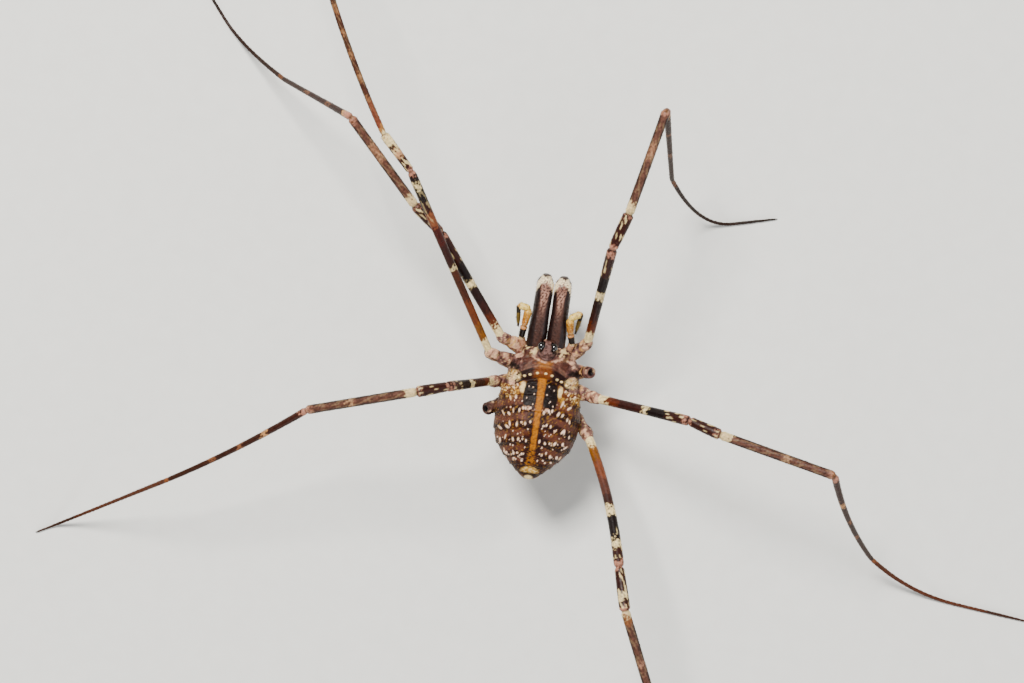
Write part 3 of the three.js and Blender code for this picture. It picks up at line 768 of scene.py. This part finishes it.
# Base, hand, two fingers and their teeth; also the base's root, bulge and elbow
def jawParts(side):
    x = jawForm["lean"] + side * (jawForm["halfWidth"] + jawForm["gap"])
    root = np.array([x + side * 0.06, 2.1, coxalPlane - 0.02])
    elbow = np.array([x, 2.3 + jawForm["length"], coxalPlane + 0.85])
    bulge = np.array([x + side * 0.06, 4.1, coxalPlane + 0.52])
    wrist = np.array([x + side * 0.05, elbow[1] - 0.35, elbow[2] - jawForm["hand"]])
    knuckle = np.array([x + side * 0.03, elbow[1] + 0.3, elbow[2] - 1.65])
    tip = wrist + [0, -0.12, -1.1]

    def tube(name, ends, count, step, radii, sides, **shape):
        path, _ = evened(bend(*ends, count), step)
        radius = profile(jawForm[radii], np.linspace(0, 1, len(path)))
        return path, rolledTube(name, path, radius, sides, **shape)

    parts = [tube("jaw", (root, bulge, elbow), 80, 0.05, "baseRadii", 40, corner=0.86, tip=0.72)[1],
             tube("hand", (elbow + [0, 0.02, 0], knuckle, wrist), 80, 0.05, "handRadii", 36)[1]]
    fixed = wrist + [0, 0.1, 0.25], wrist + [0, 0.2, -0.45], tip
    moving = wrist + [0, -0.1, 0.1], wrist + [0, -0.8, -0.35], tip + [0, -0.2, 0]
    for ends, inward in ((fixed, -1), (moving, 1)):
        finger, piece = tube("finger", ends, 50, 0.03, "fingerRadii", 20)
        parts.append(piece)
        for k in range(jawForm["teeth"]):
            i = int(len(finger) * (0.42 + 0.14 * k))
            foot = finger[i] + [0, inward * 0.1, 0]
            tooth = np.linspace(foot, foot + [0, inward * 0.09, 0], 4)
            parts.append(rolledTube("tooth", tooth, np.linspace(0.06, 0.02, 4), 8))
    return parts, root, bulge, elbow


def makeJaw(sideName, side):
    parts, root, bulge, elbow = jawParts(side)
    jaw = fused(joined(sideName + "Jaw", parts), jawForm["voxel"], rounds=5)
    points, away = bodyCoords(jaw), normals(jaw)
    x, y, z = (points - lift).T
    fine, wide, tiny = ripples(points, (0.2, 23), (0.6, 24), (0.13, 25))
    axis = np.interp(y, [2.1, 4.1, 6.05], [root[0], bulge[0], elbow[0]])
    across = (x - axis) * side / 0.5                     # -1 inner side, 1 outer side
    lump = 0.006 * ripple(points, 0.16, 21) + 0.008 * np.maximum(ripple(points, 0.24, 22), 0)
    # groove and knob where the hand hinges
    groove = points[:, 2] - elbow[2] + 0.62 - 0.25 * (y - elbow[1])
    lump -= 0.045 * ridge(groove, 0.05) * (y > elbow[1] - 0.6)
    lump += 0.17 * blob(across / 0.5, (z - 0.66) / 0.36, 0.45) * (y > 6.15)
    swell(jaw, lump)
    face = smooth(0.62, 0.35, np.abs(across + 0.12)) * smooth(-0.1, 0.3, away[:, 2])
    # pale wedge on top that widens towards the elbow
    wedge = np.interp(y, [3.6, 5.2, 6.0], [0.03, 0.3, 0.55])
    streak = smooth(wedge + 0.2, wedge, np.abs(across + 0.12)) * smooth(3.8, 5.4, y) * (z > 0)
    # cream elbow, reaching further back at its inner and outer rims
    reach = y + 0.62 * np.abs(across) ** 2 - 0.08 * fine
    marks = smooth(0.05, 0.6, fine + 0.4 * tiny) * smooth(0.8, 0.4, np.abs(across))
    tongue = blob(across / 0.46, (z - 0.44) / 0.6, 0.4) * (y > 6.1)       # dark skin of the hinge
    colour = wash(jawTint["side"], jawTint, top=face * (0.55 + 0.35 * smooth(3.5, 5.3, y)),
                  side=0.5 * smooth(0.15, 0.5, tiny) * face,
                  pink=0.7 * streak * smooth(-0.6, 0.3, fine + 0.5 * tiny),
                  tip=smooth(6.05, 6.3, reach) * smooth(0.12, 0.4, z),
                  brown=0.7 * marks * smooth(5.4, 5.8, y) * smooth(6.42, 6.2, y),
                  nub=smooth(0.2, 0.65, tongue + 0.2 * fine))
    hand = wash(jawTint["hand"], jawTint, top=0.6 * smooth(0.0, 0.6, wide),
                side=0.6 * smooth(0.1, 0.8, fine), pink=0.3 * smooth(0.25, 0.8, tiny),
                claw=smooth(-2.5, -3.1, z))
    paint(jaw, mix(colour, hand, smooth(0.45, 0.2, z) * smooth(5.0, 5.3, y)))
    finishPiece(jaw, [f"chelicera_{sideName}_{part}" for part in ("base", "hand", "finger")],
                jawChitin)
    return jaw


jaws = [makeJaw("left", -1), makeJaw("right", 1)]
print("jaws:", sum(len(jaw.data.polygons) for jaw in jaws), "faces")


# Banded limbs

# Radius at each share of a limb; lengths is a list of (start, end, stations)
def limbRadius(lengths, shares):
    radius = np.zeros(len(shares))
    for start, end, stations in lengths:
        here = (shares >= start - 1e-9) & (shares <= end + 1e-9)
        radius[here] = profile(stations, (shares[here] - start) / (end - start))
    return radius


# The skin between two lengths of a limb is drawn in, and their ends stand out beside it
def jointed(radius, run, joints, depth, width):
    for at in joints:
        off = run - at
        radius = radius * (1 - depth * ridge(off, width))
        for end in (-2.3, 2.3):
            radius = radius * (1 + 0.4 * depth * ridge(off - end * width, 1.1 * width))
    return radius


# For each length of a limb: which points are on it, and how far along it they lie
def onLengths(along, marks):
    for start, end in zip(marks[:-1], marks[1:]):
        here = (along >= start) & (along <= end)
        yield here, (along[here] - start) / (end - start)


# Colours along one length; bands is [(share, colour), ...], each from its share onward
def bandColours(along, bands, wobble, soft=0.02):
    colour = linear(bands[0][1])
    for start, tone in bands[1:]:
        colour = mix(colour, linear(tone), smooth(start - soft, start + soft, along + wobble))
    return colour


palpForm = {
    "left": [[-1.1, 1.7, 5.6], [-1.62, 2.75, 6.15], [-1.55, 3.5, 6.7], [-1.42, 4.5, 7.3],
             [-2.05, 4.6, 7.2], [-1.9, 3.4, 6.1]],
    "right": [[1.0, 1.75, 5.6], [1.4, 2.8, 6.15], [1.2, 3.4, 6.7], [1.05, 4.25, 7.3],
              [1.68, 4.65, 7.2], [1.5, 3.45, 6.1]],
    "radii": [[(0, 0.2), (1, 0.2)], [(0, 0.15), (0.15, 0.18), (0.9, 0.2), (1, 0.15)],
              [(0, 0.15), (0.2, 0.2), (0.8, 0.24), (1, 0.17)],
              [(0, 0.16), (0.3, 0.21), (0.85, 0.21), (1, 0.14)],
              [(0, 0.12), (0.2, 0.135), (0.7, 0.12), (1, 0.05)]],
    "bands": [[(0, "#b98f74")], [(0, "#ddc49a"), (0.18, "#160a06"), (0.82, "#b98a5a")],
              [(0, "#c0905c"), (0.2, "#b87c12"), (0.5, "#c48e24"), (0.85, "#dcb04a")],
              [(0, "#e8cc70"), (0.55, "#ecd484"), (0.88, "#d8a840")],
              [(0, "#2e240e"), (0.3, "#8a7428"), (0.85, "#4a3a18")]],
    "step": 0.028, "easing": 12, "sides": 28,
    "jointDepth": 0.2, "jointWidth": 0.05,
}
palpTint = linearAll({"flecks": "#f0dc9c", "rubbed": "#a05a10"})


def makePalp(sideName):
    knots = np.array(palpForm[sideName])
    legs = [knots[:1]]
    for a, b in zip(knots[:-1], knots[1:]):
        legs.append(np.linspace(a, b, max(int(np.linalg.norm(b - a) / 0.035), 4))[1:])
    path = np.concatenate(legs)
    gaps = np.concatenate([[0], np.cumsum(np.linalg.norm(np.diff(path, axis=0), axis=1))])
    ends = np.concatenate([[0], np.cumsum([len(line) for line in legs[1:]])])
    marks = gaps[ends] / gaps[-1]
    path, total = evened(eased(path, palpForm["easing"]), palpForm["step"])
    shares = np.linspace(0, 1, len(path))
    lengths = list(zip(marks[:-1], marks[1:], palpForm["radii"]))
    radius = jointed(limbRadius(lengths, shares), shares * total, marks[2:5] * total,
                     palpForm["jointDepth"], palpForm["jointWidth"])
    palp = rolledTube(sideName + "Palp", path, radius, palpForm["sides"])
    points = bodyCoords(palp)
    fine, tiny = ripples(points, (0.2, 31), (0.12, 33))
    colour = np.zeros((len(points), 3))
    for i, (here, inside) in enumerate(onLengths(readMark(palp, "along"), marks)):
        colour[here] = bandColours(inside, palpForm["bands"][i], 0.05 * fine[here])
        if i in (2, 3):
            colour[here] = wash(colour[here], palpTint,
                                flecks=0.45 * smooth(0.1, 0.7, tiny[here]),
                                rubbed=0.5 * smooth(0.2, 0.8, fine[here]))
    swell(palp, 0.006 * ripple(points, 0.12, 32))
    paint(palp, colour)
    finishPiece(palp, [f"palp_{sideName}_{part}"
                       for part in ("femur", "patella", "tibia", "tarsus")], palpChitin)
    return palp


palps = [makePalp("left"), makePalp("right")]
print("palps done")


# Legs

legParts = ("femur", "patella", "tibia", "metatarsus", "tarsus")
# Lengths of the first four parts in millimetres, for each pair of legs
legLengths = [[7.5, 2.3, 6.4, 8.6], [12.7, 2.7, 11.4, 9.2], [6.4, 2.05, 7.0, 10.2],
              [8.8, 2.6, 7.9, 10.8]]
# The parts' ways are headings clockwise from +Y and climbs above the horizon, in degrees.
# The foot starts down one way, then lies at a heading; bends, flats and bows are millimetres.
legPose = {
    "left_1": {"ways": [(-38.7, 20), (-52, 17), (-44.5, 14), (-67, -55)],
               "start": (-60, -48), "lies": -40, "bend": 2.0, "flat": 2.5},
    "right_1": {"ways": [(5.6, 41.5), (16.7, 12), (11.2, 12), (163, -64)],
                "start": (140, -58), "lies": 75, "bend": 2.2, "flat": 2.5},
    "left_2": {"ways": [(-31.8, 26), (-44.8, 15), (-27.8, 12), (-30, -42)],
               "start": (-32, -50), "lies": -55, "bend": 3.0, "flat": 3.5, "tibiaBow": -0.25},
    "left_3": {"ways": [(-104.7, 67), (-108, 28), (-108, -22), (-125, -25)],
               "start": (-120.5, -40), "lies": -119, "bend": 1.0, "flat": 0.8,
               "metatarsusBow": -0.15},
    "right_3": {"ways": [(95, 31), (105.8, 20), (101.3, 4), (143.4, -55)],
                "start": (124, -35), "lies": 95, "bend": 3.0, "flat": 4.5, "metatarsusBow": 0.3},
    "right_4": {"ways": [(158.5, 29), (163.9, 13), (154.7, -12), (157, -38)],
                "start": (150, -32), "lies": 135, "bend": 3.0, "flat": 3.5, "femurBow": -0.28},
}
# Thickness of each length, as (share, radius)
legRadii = {
    "femur": [(0, 0.22), (0.03, 0.26), (0.08, 0.268), (0.5, 0.272), (0.8, 0.295), (0.93, 0.305),
              (0.97, 0.3), (0.985, 0.27), (1, 0.21)],
    "patella": [(0, 0.21), (0.05, 0.27), (0.2, 0.295), (0.75, 0.33), (0.93, 0.32), (0.98, 0.28),
                (1, 0.22)],
    "tibia": [(0, 0.22), (0.02, 0.265), (0.1, 0.27), (0.85, 0.262), (0.965, 0.272), (0.985, 0.25),
              (1, 0.18)],
    "metatarsus": [(0, 0.17), (0.02, 0.215), (0.15, 0.195), (0.5, 0.165), (1, 0.14)],
    "tarsus": [(0, 0.12), (0.02, 0.14), (0.4, 0.11), (0.85, 0.09), (1, 0.05)],
}
secondLeg = {"femur": 0.86, "patella": 0.82, "tibia": 0.66, "metatarsus": 0.8, "tarsus": 0.85}

cream, amber, rust, brown, black = "#ecd8a8", "#8c5c1a", "#6c3616", "#441d12", "#220b07"
dusk, pink = "#4c2e26", "#b98a76"
legTint = linearAll({"cream": cream, "brown": brown, "black": black, "light": pink})
# the pale tone, dimmed here, is a painted highlight for the tops of the tibiae
legTint["light"] *= 0.7
darkKnee = [(0, pink), (0.07, brown), (0.85, dusk), (0.93, pink), (0.985, brown)]
legBands = {
    0: {
        "femur": [(0, cream), (0.12, rust), (0.24, brown), (0.36, "#32120b"), (0.49, cream),
                  (0.555, black), (0.73, brown), (0.94, pink), (0.975, brown)],
        "patella": darkKnee,
        "tibia": [(0, cream), (0.1, dusk), (0.5, "#a47e62"), (0.68, dusk), (0.955, pink),
                  (0.985, amber)],
        "metatarsus": [(0, pink), (0.05, "#caa070"), (0.09, "#40200f"), (0.3, "#805a40"),
                       (0.34, "#40200f"), (0.6, "#805a40"), (0.64, "#40240f")],
        "tarsus": [(0, "#7a5234"), (0.06, "#3c2212"), (0.8, "#32200f")],
    },
    1: {
        "femur": [(0, cream), (0.08, amber), (0.17, "#7a441c"), (0.3, "#5a3018"), (0.47, cream),
                  (0.485, brown), (0.6, "#561f10"), (0.71, "#8a5636"), (0.785, brown),
                  (0.83, black), (0.92, cream), (0.94, "#2a100a"), (0.985, pink)],
        "patella": [(0, pink), (0.06, brown), (0.42, "#c8a07c"), (0.55, dusk), (0.72, cream),
                    (0.97, amber)],
        "tibia": [(0, cream), (0.015, "#b08452"), (0.05, "#84503a")]
        + [(0.12 * k + 0.06 + 0.035 * odd, tone) for k in range(1, 8)
           for odd, tone in ((0, "#987050"), (1, "#5e3a2c"))],
        "metatarsus": [(0, "#b08248"), (0.04, "#44220f"), (0.4, "#8a5a34"), (0.44, "#44220f")],
        "tarsus": [(0, "#7a5234"), (0.06, "#44260f"), (0.8, "#38200f")],
    },
    2: {
        "femur": [(0, cream), (0.13, rust), (0.26, brown), (0.5, cream), (0.56, black),
                  (0.78, brown), (0.94, pink), (0.975, brown)],
        "patella": darkKnee,
        "tibia": [(0, cream), (0.09, dusk), (0.55, "#c09c78"), (0.62, dusk), (0.95, pink),
                  (0.985, amber)],
        "metatarsus": [(0, pink), (0.04, "#4a2618"), (0.28, "#c89c70"), (0.325, "#4a2818"),
                       (0.48, "#94684a"), (0.505, "#462412"), (0.68, "#94684a"), (0.7, "#4a2814")],
        "tarsus": [(0, "#94603a"), (0.03, "#64381c"), (0.75, "#4a2a16")],
    },
    3: {
        "femur": [(0, cream), (0.1, amber), (0.2, "#845034"), (0.34, "#6a4436"), (0.46, dusk),
                  (0.56, cream), (0.62, black), (0.81, cream), (0.86, brown), (0.97, pink)],
        "patella": [(0, pink), (0.06, brown), (0.62, cream), (0.74, brown), (0.94, pink)],
        "tibia": [(0, cream), (0.04, amber), (0.1, "#3a1c16"), (0.4, "#c49a80"), (0.43, dusk),
                  (0.7, "#c49a80"), (0.73, "#3a1c16"), (0.96, pink)],
        "metatarsus": [(0, pink), (0.05, "#3a1a10"), (0.35, "#9a7050"), (0.39, "#40200f")],
        "tarsus": [(0, "#7a5234"), (0.05, "#44260f"), (0.8, "#38200f")],
    },
}
# How far pale specks show on each length: (share from, share to, amount)
legSpecks = {"femur": (0.73, 0.95, 0.9), "patella": (0.06, 0.95, 0.9), "tibia": (0.1, 1.0, 0.1),
             "metatarsus": (0.0, 1.0, 0.0), "tarsus": (0.0, 1.0, 0.0)}

legForm = {
    "step": 0.042,                   # millimetres from ring to ring of the mesh
    "sides": 30, "easing": 26,
    "jointDepth": 0.1, "jointWidth": 0.07,
    "footRing": 0.36,                # length of each short piece of a foot
    "footRingDepth": 0.13,
}


def legPath(name):
    pair, hip = hips[name]
    pose = legPose[name]
    at = np.array(hip, float)
    pieces = []
    for part, length, (heading, climb) in zip(legParts, legLengths[pair], pose["ways"]):
        way = direction(heading, climb)
        side = direction(heading + 90, 0)
        middle = at + way * length / 2 + side * 2 * pose.get(part + "Bow", 0)
        pieces.append(bend(at, middle, at + way * length, 60))
        at = at + way * length
    down = direction(*pose["start"])
    corner = at + down * (at[2] - 0.1) / -down[2]
    lying = direction(pose["lies"], 0)
    landing = corner + lying * pose["bend"]
    flat = np.linspace(landing, landing + lying * pose["flat"], 30)[1:]
    pieces.append(np.concatenate([bend(at, corner, landing, 60), flat]))
    return pieces


def makeLeg(name):
    pair = hips[name][0]
    runs = [evened(piece, legForm["step"]) for piece in legPath(name)]
    total = sum(length for _, length in runs)
    marks = np.concatenate([[0], np.cumsum([length for _, length in runs])]) / total
    path = np.concatenate([runs[0][0]] + [run[1:] for run, _ in runs[1:]])
    path, _ = evened(eased(path, legForm["easing"]), legForm["step"])
    shares = np.linspace(0, 1, len(path))
    onFoot = shares > marks[4]
    slim = secondLeg if pair == 1 else {}
    lengths = [(marks[i], marks[i + 1],
                [(s, r * slim.get(part, 1)) for s, r in legRadii[part]])
               for i, part in enumerate(legParts)]
    radius = limbRadius(lengths, shares)
    radius[1:-1] = 0.25 * radius[:-2] + 0.5 * radius[1:-1] + 0.25 * radius[2:]
    joints = marks[1:4] * total
    radius = jointed(radius, shares * total, joints, legForm["jointDepth"], legForm["jointWidth"])
    path[:, 2] = np.where(onFoot, np.maximum(path[:, 2], radius), path[:, 2])
    # the foot is ringed where its many short pieces meet
    beat = np.abs(shares * total / legForm["footRing"] % 1 - 0.5)
    radius = radius * np.where(onFoot, 1 - legForm["footRingDepth"] * smooth(0.18, 0.0, beat), 1)
    leg = rolledTube(name.split("_")[0] + "Leg" + name[-1], path, radius, legForm["sides"])
    colourLeg(leg, pair, marks, total, joints, frames(path)[1][len(path) // 3])
    finishPiece(leg, [f"leg_{name}_{part}" for part in legParts], legChitin)
    return leg, path, radius, marks


def colourLeg(leg, pair, marks, total, joints, side):
    along, around = readMark(leg, "along"), readMark(leg, "around")
    points = bodyCoords(leg)
    fine, wide, tiny = ripples(points, (0.24, 41), (0.8, 42), (0.22, 44))
    # marks drawn out along the leg
    run = along * total
    half = np.sign(normals(leg) @ side)
    turn = np.arctan2(around, half * np.sqrt(np.maximum(1 - around ** 2, 0)))
    rolled = np.stack([run * 0.42, 0.28 * np.cos(turn), 0.28 * np.sin(turn)], 1)
    dash = ripple(rolled, 0.26, 45)
    colour = np.zeros((len(points), 3))
    speck = np.zeros(len(points))
    for part, gap, (here, inside) in zip(legParts, np.diff(marks), onLengths(along, marks)):
        length = gap * total
        wobble = (0.16 * fine[here] + 0.14 * wide[here] + 0.1 * tiny[here]) / length
        colour[here] = bandColours(inside, legBands[pair][part], wobble, 0.11 / length)
        start, end, amount = legSpecks[part]
        amount *= 0.35 if pair == 1 and part == "femur" else 1
        speck[here] = amount * smooth(start - 0.02, start + 0.02, inside) * (inside < end)
        if part == "tibia":                  # dark flanks beside a paler top: painted shade on the flanks and a painted highlight along the top
            # painted highlight along the top of the tibia
            top = smooth(0.45, 0.85, around[here] + 0.2 * dash[here])
            blots = smooth(0.1, 0.6, fine[here] + 0.4 * dash[here]) * smooth(0.1, 0.16, inside)
            # painted shade on the upper flanks of the tibia
            flank = smooth(0.55, 0.15, np.abs(around[here] - 0.35)) * smooth(0.1, 0.15, inside)
            colour[here] = wash(colour[here], legTint, light=0.3 * top * (pair != 1),
                                brown=0.55 * blots * (pair != 1),
                                black=0.55 * flank * (inside < 0.95))
    colour = wash(colour, legTint, cream=0.85 * speck * smooth(0.28, 0.6, dash),
                  black=0.3 * smooth(0.2, 0.8, -dash) * (along < marks[3]))
    for at in joints:
        colour = wash(colour, legTint, black=0.6 * ridge(run - at, 0.05))
    swell(leg, 0.006 * fine + 0.01 * smooth(0.2, 0.6, dash) * speck)
    keepOffFloor(leg)
    paint(leg, colour)


legs = {name: makeLeg(name) for name in legPose}
print("legs:", sum(len(leg.data.polygons) for leg, *_ in legs.values()), "faces")


# Bristles and claws

bristleForm = {"thick": 0.0075, "onLegs": 26}            # on legs: how many to the millimetre
coats = {
    "jaw": {"count": 420, "reach": 0.16, "lie": [0, 0.3, -0.6], "slot": "chelicera", "seed": 71},
    "palp": {"count": 420, "reach": 0.13, "lie": [0, 0.2, -0.3], "slot": "palp", "seed": 72},
    "body": {"count": 1500, "reach": 0.085, "lie": [0, -0.9, 0], "slot": "abdomen", "seed": 73},
}


# One bristle: a thin cone cut across its middle, where it bends
def bristleShape():
    deselectAll()
    bpy.ops.mesh.primitive_cone_add(vertices=3, radius1=1, radius2=0.0, depth=1)
    cone = bpy.context.object
    use(cone)
    bpy.ops.object.mode_set(mode="EDIT")
    bpy.ops.mesh.select_all(action="SELECT")
    bpy.ops.mesh.bisect(plane_co=(0, 0, 0), plane_no=(0, 0, 1))
    bpy.ops.object.mode_set(mode="OBJECT")
    shape, faces = coords(cone), [list(face.vertices) for face in cone.data.polygons]
    bpy.data.objects.remove(cone)
    return shape, faces


# Curved bristles at the roots, all in one mesh, each with its patch on OFBake
def plantBristles(name, roots, ways, curls, lengths, unwrap):
    shape, faces = bristleShape()
    height = shape[:, 2] + 0.5
    across = np.cross(ways, np.array([0.3, 0.2, 1.0]))
    across /= np.linalg.norm(across, axis=1)[:, None]
    over = np.cross(ways, across)
    length = lengths[:, None, None]
    stem = height[None, :, None]
    points = (roots[:, None, :] + ways[:, None, :] * (stem - 0.15) * length
              + curls[:, None, :] * stem ** 2 * length * 0.35
              + bristleForm["thick"] * (across[:, None, :] * shape[None, :, 0:1]
                                        + over[:, None, :] * shape[None, :, 1:2]))
    size = len(shape)
    mesh = bpy.data.meshes.new(name)
    mesh.from_pydata(((points.reshape(-1, 3) + bodyAt) * mm).tolist(), [],
                     [[v + size * k for v in face] for k in range(len(roots)) for face in faces])
    piece = bpy.data.objects.new(name, mesh)
    bpy.context.collection.objects.link(piece)
    loops = np.empty(len(mesh.loops), int)
    mesh.loops.foreach_get("vertex_index", loops)
    patch = mesh.uv_layers.new(name="OFBake")
    root, corner = loops // size, loops % size
    spread = np.stack([shape[corner, 0] * 0.0015, (height[corner] - 0.5) * 0.003], 1)
    patch.data.foreach_set("uv", (unwrap[root] + spread).ravel())
    finishPiece(piece, [], bristleHorn)


def unitRows(vectors):
    return vectors / np.maximum(np.linalg.norm(vectors, axis=1), 1e-9)[:, None]


# Bristles on random vertices of a skin, out of the allowed ones, lying along its coat's lie
def clad(name, skin, coat, allowed):
    dice = np.random.default_rng(coat["seed"])
    points, away = bodyCoords(skin), normals(skin)
    usable = np.flatnonzero(allowed)
    picks = dice.choice(usable, min(coat["count"], len(usable)), replace=False)
    lie = np.broadcast_to(coat["lie"], points.shape)[picks]
    side = dice.normal(0, 0.25, (len(picks), 3))
    ways = unitRows(away[picks] + lie * dice.uniform(0.5, 1.1, (len(picks), 1)) + side)
    middle, size = points.mean(axis=0), np.ptp(points, axis=0).max()
    local = (points[picks] - middle) / size
    unwrap = np.stack([0.5 + np.arctan2(local[:, 0], local[:, 2]) / (2 * math.pi) * 0.98,
                       0.5 + local[:, 1] * 0.98], 1)
    lengths = coat["reach"] * dice.uniform(0.55, 1.2, len(picks))
    plantBristles(name, points[picks], ways, lie * 0.9, lengths, unwrap)


def cladLeg(name, leg, path, radius, marks):
    tangent, side, up = frames(path)
    dice = np.random.default_rng(60 + len(name) * 7 + int(name[-1]))
    count = int(len(path) * legForm["step"] * bristleForm["onLegs"])
    share = dice.uniform(0.06, 0.995, count) ** 0.9
    index = (share * (len(path) - 1)).astype(int)
    angle = dice.uniform(-math.pi, math.pi, count)
    out = side[index] * np.cos(angle)[:, None] + up[index] * np.sin(angle)[:, None]
    roots = path[index] + out * radius[index, None] * 0.97
    low = roots[:, 2] > 0.2                               # none pokes through the floor
    roots, out, index, angle, share = roots[low], out[low], index[low], angle[low], share[low]
    ways = unitRows(out * 0.62 + tangent[index] + dice.normal(0, 0.12, out.shape))
    lengths = np.interp(share, [0, marks[3], 0.9, 1], [0.13, 0.17, 0.16, 0.09])
    lengths = lengths * dice.uniform(0.6, 1.25, len(roots))
    unwrap = np.stack([share * 0.98 + 0.01, 0.5 + angle / (2 * math.pi) * 0.98], 1)
    plantBristles(leg.name + "Bristles", roots, ways, tangent[index] * 0.5, lengths, unwrap)


for name, made in legs.items():
    cladLeg(name, *made)
for jaw in jaws:
    x, y, z = bodyCoords(jaw).T
    clad(jaw.name + "Bristles", jaw, coats["jaw"], (y > 3.2) & (z - coxalPlane > -3.4))
for palp in palps:
    clad(palp.name + "Bristles", palp, coats["palp"], bodyCoords(palp)[:, 1] > 2.6)
clad("bodyBristles", body, coats["body"], bodyCoords(body)[:, 2] > 4.9)
print("bristles done")


clawForm = {"reach": 0.16, "tipHeight": 0.012, "radii": [(0, 0.032), (0.5, 0.024), (1, 0.006)]}


# A small hooked claw at the tip of a foot
def makeClaw(name, path):
    way = unitRows((path[-1] - path[-6])[None, :])[0]
    root = path[-1] + way * 0.02
    tip = root + way * clawForm["reach"]
    tip[2] = clawForm["tipHeight"]
    hook, _ = evened(bend(root, root + way * 0.12 + [0, 0, 0.05], tip, 24), 0.012)
    thin = profile(clawForm["radii"], np.linspace(0, 1, len(hook)))
    claw = rolledTube(name + "Claw", hook, thin, 10)
    keepOffFloor(claw)
    paint(claw, jawTint["claw"])
    finishPiece(claw, [], jawChitin)


for leg, path, *_ in legs.values():
    makeClaw(leg.name, path)
print("claws done")


# Floor, light and camera

lamps = {
    "key": {"at": (-0.1, 0.14, 0.3), "size": 0.09, "power": 2.5, "colour": (1.0, 0.97, 0.92)},
    "fill": {"at": (0.28, -0.05, 0.2), "size": 0.3, "power": 0.5, "colour": (0.94, 0.97, 1.0)},
    "rim": {"at": (0.02, -0.3, 0.14), "size": 0.15, "power": 0.45, "colour": (1.0, 0.98, 0.95)},
}
view = {"x": -2.12, "y": 2.43, "height": 270.0, "turn": 8.5, "lens": 161.4}

deselectAll()
bpy.ops.mesh.primitive_plane_add(size=3, location=(0, 0, 0))
floor = bpy.context.object
floor.name = "floor"
floor.data.materials.append(palePaper)

for name, form in lamps.items():
    deselectAll()
    bpy.ops.object.light_add(type="AREA", location=form["at"])
    lamp = bpy.context.object
    lamp.name = name
    lamp.data.size = form["size"]
    lamp.data.energy = form["power"]
    lamp.data.color = form["colour"]
    lamp.rotation_euler = (-Vector(form["at"])).to_track_quat("-Z", "Y").to_euler()
world = bpy.data.worlds.new("studio")
bpy.context.scene.world = world
world.use_nodes = True
plug(world.node_tree, world.node_tree.nodes["Background"],
     {"Color": (0.9, 0.93, 0.95, 1), "Strength": 0.3})

deselectAll()
bpy.ops.object.camera_add(location=((view["x"] + bodyAt[0]) * mm, (view["y"] + bodyAt[1]) * mm,
                                    (view["height"] + coxalPlane) * mm),
                          rotation=(0, 0, math.radians(view["turn"])))
camera = bpy.context.object
camera.data.sensor_width = 36
camera.data.lens = view["lens"]
camera.data.clip_start = 0.005
camera.data.clip_end = 10
bpy.context.scene.camera = camera
print("camera set")
